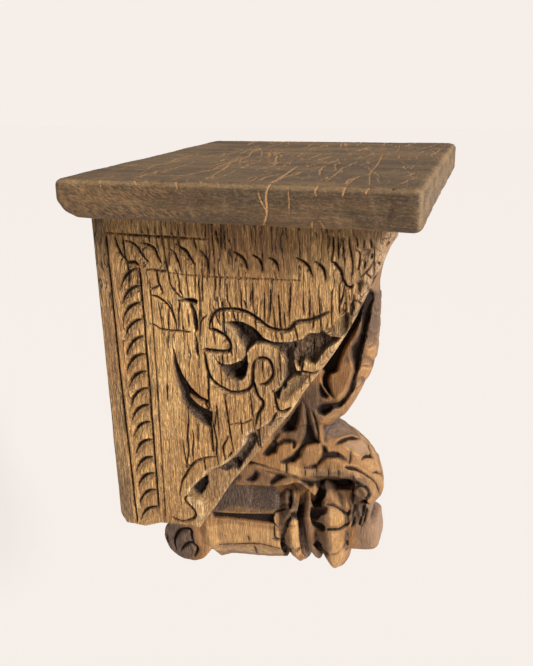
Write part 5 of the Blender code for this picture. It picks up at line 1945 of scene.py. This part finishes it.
class CorbelSettings(bpy.types.PropertyGroup):
    """Mesh fineness and colours of the corbel bracket."""

    flank_spacing: length_setting(
        "Flank grid", "Distance between mesh points on the near flank", 0.00105)
    far_spacing: length_setting(
        "Far flank grid", "Distance between mesh points on the far flank", 0.0016)
    spine_voxel: length_setting(
        "Leaf grid", "Size of the even skin on the leaf and scroll", 0.00098)
    bud_voxel: length_setting(
        "Bud grid", "Size of the even skin on the stalk and bud", 0.00086)
    wood_light: colour_setting(
        "Golden wood", "Lighter tone of the dry flanks", (0.880, 0.525, 0.200))
    wood_mid: colour_setting(
        "Middle wood", "Common tone of the dry flanks", (0.620, 0.335, 0.120))
    waxed_light: colour_setting(
        "Waxed wood, light", "Lighter tone of the smooth carving", (0.430, 0.228, 0.086))
    waxed_mid: colour_setting(
        "Waxed wood, middle", "Common tone of the smooth carving", (0.225, 0.108, 0.040))
    wood_ruddy: colour_setting(
        "Ruddy patches", "Redder tone that comes and goes in broad patches", (0.400, 0.170, 0.055))
    # Also the colour of painted highlights on the carving
    waxed_worn: colour_setting(
        "Waxed wood, rubbed", "Pale tone of the smooth carving's high places",
        (0.720, 0.425, 0.170))
    wood_dark: colour_setting(
        "Dark streaks", "Tone of the darker fibres", (0.150, 0.064, 0.021))
    # Also the colour of painted highlights on the flanks
    wood_worn: colour_setting(
        "Worn edges", "Pale tone where edges are rubbed", (0.950, 0.680, 0.370))
    wood_grey: colour_setting(
        "Greyed wood", "Dull purple grey of bare patches", (0.440, 0.275, 0.180))
    # Also the painted black shade of deep hollows and the painted shade of the board's near side
    stain: colour_setting(
        "Stain in cuts", "Nearly black tone in grooves and cracks", (0.022, 0.015, 0.012))
    # Also the colour of painted shade through the tone attribute
    ground: colour_setting(
        "Sunken ground", "Dull brown of the sunken fields", (0.095, 0.060, 0.044))
    board_light: colour_setting(
        "Board, light", "Lighter tone of the board", (0.250, 0.148, 0.064))
    board_ruddy: colour_setting(
        "Board, ruddy", "Redder patches of the board", (0.235, 0.112, 0.042))
    board_dark: colour_setting(
        "Board, dark", "Darker tone of the board", (0.115, 0.070, 0.034))
    board_worn: colour_setting(
        "Board, worn", "Tone of the board at its rubbed edges", (0.400, 0.260, 0.135))
    board_crack: colour_setting(
        "Board, cracks", "Pale tone of the wandering cracks", (0.520, 0.265, 0.100))
    floor_drop: length_setting(
        "Floor below", "How far the floor lies under the bracket", 0.45, 0.0)


def carved_wood(waxed=False):
    return bpy.data.materials["carved_wood_waxed" if waxed else "carved_wood_aged"]


class CORBEL_OT_materials(bpy.types.Operator):
    """Make the aged wood of the carving and of the board"""

    bl_idname = "corbel.materials"
    bl_label = "Wood Materials"

    def execute(self, context):
        settings = context.scene.corbel
        grain, wear = make_grain_group(), make_stain_wear_and_shade_group()
        make_carved_wood("carved_wood_aged", settings, grain, wear, 1.0)
        make_carved_wood("carved_wood_waxed", settings, grain, wear, 0.25)
        make_board_wood("board_wood_weathered", settings, grain, wear)
        return {"FINISHED"}


class CORBEL_OT_flanks(bpy.types.Operator):
    """Carve the two flanks with border, frieze, cloud scroll and sunken ground"""

    bl_idname = "corbel.flanks"
    bl_label = "Carved Flanks"

    def execute(self, context):
        settings = context.scene.corbel
        near = make_flank("near_flank", -1, settings.flank_spacing, True)
        far = make_flank("far_flank", 1, settings.far_spacing, False)
        for item in (near, far):
            finish_piece(item, carved_wood(), "carved_bracket")
        return {"FINISHED"}


class CORBEL_OT_core(bpy.types.Operator):
    """Make the block between the flanks"""

    bl_idname = "corbel.core"
    bl_label = "Middle Block"

    def execute(self, context):
        item = make_core("middle_block")
        shade_hollows(item.data, Relief(np.zeros((len(item.data.vertices), 2))))
        finish_piece(item, carved_wood(), "carved_bracket")
        return {"FINISHED"}


class CORBEL_OT_spine(bpy.types.Operator):
    """Carve the leaf, the stem and the scroll on the middle plane"""

    bl_idname = "corbel.spine"
    bl_label = "Leaf and Scroll"

    def execute(self, context):
        item = make_spine("leaf_and_scroll", context.scene.corbel.spine_voxel)
        finish_piece(item, carved_wood(waxed=True), "carved_bracket")
        return {"FINISHED"}


class CORBEL_OT_bud(bpy.types.Operator):
    """Carve the stalk, rings, petalled bud and square end"""

    bl_idname = "corbel.bud"
    bl_label = "Bud"

    def execute(self, context):
        item = make_bud("stalk_and_bud", context.scene.corbel.bud_voxel)
        finish_piece(item, carved_wood(waxed=True), "carved_bracket")
        return {"FINISHED"}


class CORBEL_OT_board(bpy.types.Operator):
    """Make the worn board that lies on the bracket"""

    bl_idname = "corbel.board"
    bl_label = "Shelf Board"

    def execute(self, context):
        item = make_board("worn_board")
        finish_piece(item, bpy.data.materials["board_wood_weathered"], "shelf_board")
        return {"FINISHED"}


def make_plain(name, colour, roughness):
    material, _, shader = new_material(name)
    shader.inputs["Base Color"].default_value = colour4(colour)
    shader.inputs["Roughness"].default_value = roughness
    shader.inputs["Specular IOR Level"].default_value = 0.1
    return material


def add_soft_sun(name, toward, strength, angle, colour):
    """A wide, soft light from far away, coming from the direction given."""
    light = bpy.data.lights.new(name, "SUN")
    light.energy = strength
    light.angle = angle
    light.color = colour
    item = bpy.data.objects.new(name, light)
    item.rotation_mode = "QUATERNION"
    item.rotation_quaternion = Vector(toward).to_track_quat("Z", "Y")
    bpy.context.scene.collection.objects.link(item)


def add_studio_world(name, colour, paper, strength):
    """Even light from all round, and a pale backdrop of one tone behind the floor's edge."""
    world = bpy.data.worlds.new(name)
    world.use_nodes = True
    tree = world.node_tree
    light = tree.nodes["Background"]
    light.inputs["Color"].default_value = colour4(colour)
    light.inputs["Strength"].default_value = strength
    backdrop = tree.nodes.new("ShaderNodeBackground")
    backdrop.inputs["Color"].default_value = colour4(paper)
    seen = tree.nodes.new("ShaderNodeLightPath")
    choice = tree.nodes.new("ShaderNodeMixShader")
    wire(tree, seen.outputs["Is Camera Ray"], choice.inputs[0])
    wire(tree, light.outputs[0], choice.inputs[1])
    wire(tree, backdrop.outputs[0], choice.inputs[2])
    wire(tree, choice.outputs[0], tree.nodes["World Output"].inputs["Surface"])
    bpy.context.scene.world = world


def add_camera():
    camera = bpy.data.cameras.new("camera")
    camera.lens = LENS_MM
    camera.sensor_width = SENSOR_MM
    camera.clip_start = 0.01
    camera.clip_end = 50.0
    item = bpy.data.objects.new("camera", camera)
    columns = Matrix((SIGHT_RIGHT, [-v for v in SIGHT_DOWN], [-v for v in SIGHT])).transposed()
    item.matrix_world = Matrix.Translation(EYE) @ columns.to_4x4()
    bpy.context.scene.collection.objects.link(item)
    bpy.context.scene.camera = item


class CORBEL_OT_stage(bpy.types.Operator):
    """Set the pale floor, the soft studio light and the camera"""

    bl_idname = "corbel.stage"
    bl_label = "Stage"

    def execute(self, context):
        floor_z = BLOCK_LOW.z - context.scene.corbel.floor_drop
        bm = bmesh.new()
        bmesh.ops.create_grid(bm, x_segments=2, y_segments=2, size=FLOOR_HALF)
        bmesh.ops.translate(bm, vec=(0.0, 0.0, floor_z), verts=bm.verts)
        floor = object_from("pale_floor", bm)
        floor.data.materials.append(make_plain("pale_floor_finish", FLOOR_COLOUR, FLOOR_ROUGHNESS))
        add_soft_sun("key_light", KEY_DIRECTION, KEY_STRENGTH, KEY_ANGLE, KEY_COLOUR)
        add_studio_world("studio", WORLD_COLOUR, PAPER_COLOUR, WORLD_STRENGTH)
        context.scene.view_settings.view_transform = "Standard"
        add_camera()
        return {"FINISHED"}


STEPS = (CORBEL_OT_materials, CORBEL_OT_flanks, CORBEL_OT_core, CORBEL_OT_spine, CORBEL_OT_bud,
         CORBEL_OT_board, CORBEL_OT_stage)


class CORBEL_PT_panel(bpy.types.Panel):
    """Lists the steps that build the bracket"""

    bl_idname = "CORBEL_PT_panel"
    bl_label = "Carved Corbel Bracket"
    bl_space_type = "VIEW_3D"
    bl_region_type = "UI"
    bl_category = "Corbel"

    def draw(self, context):
        column = self.layout.column()
        for name in CorbelSettings.__annotations__:
            column.prop(context.scene.corbel, name)
        for step in STEPS:
            column.operator(step.bl_idname)


CLASSES = (CorbelSettings,) + STEPS + (CORBEL_PT_panel,)


def register():
    for item in CLASSES:
        bpy.utils.register_class(item)
    bpy.types.Scene.corbel = bpy.props.PointerProperty(type=CorbelSettings)


def unregister():
    del bpy.types.Scene.corbel
    for item in reversed(CLASSES):
        bpy.utils.unregister_class(item)


def main():
    register()
    for step in STEPS:
        group, name = step.bl_idname.split(".")
        getattr(getattr(bpy.ops, group), name)()


if __name__ == "__main__":
    main()
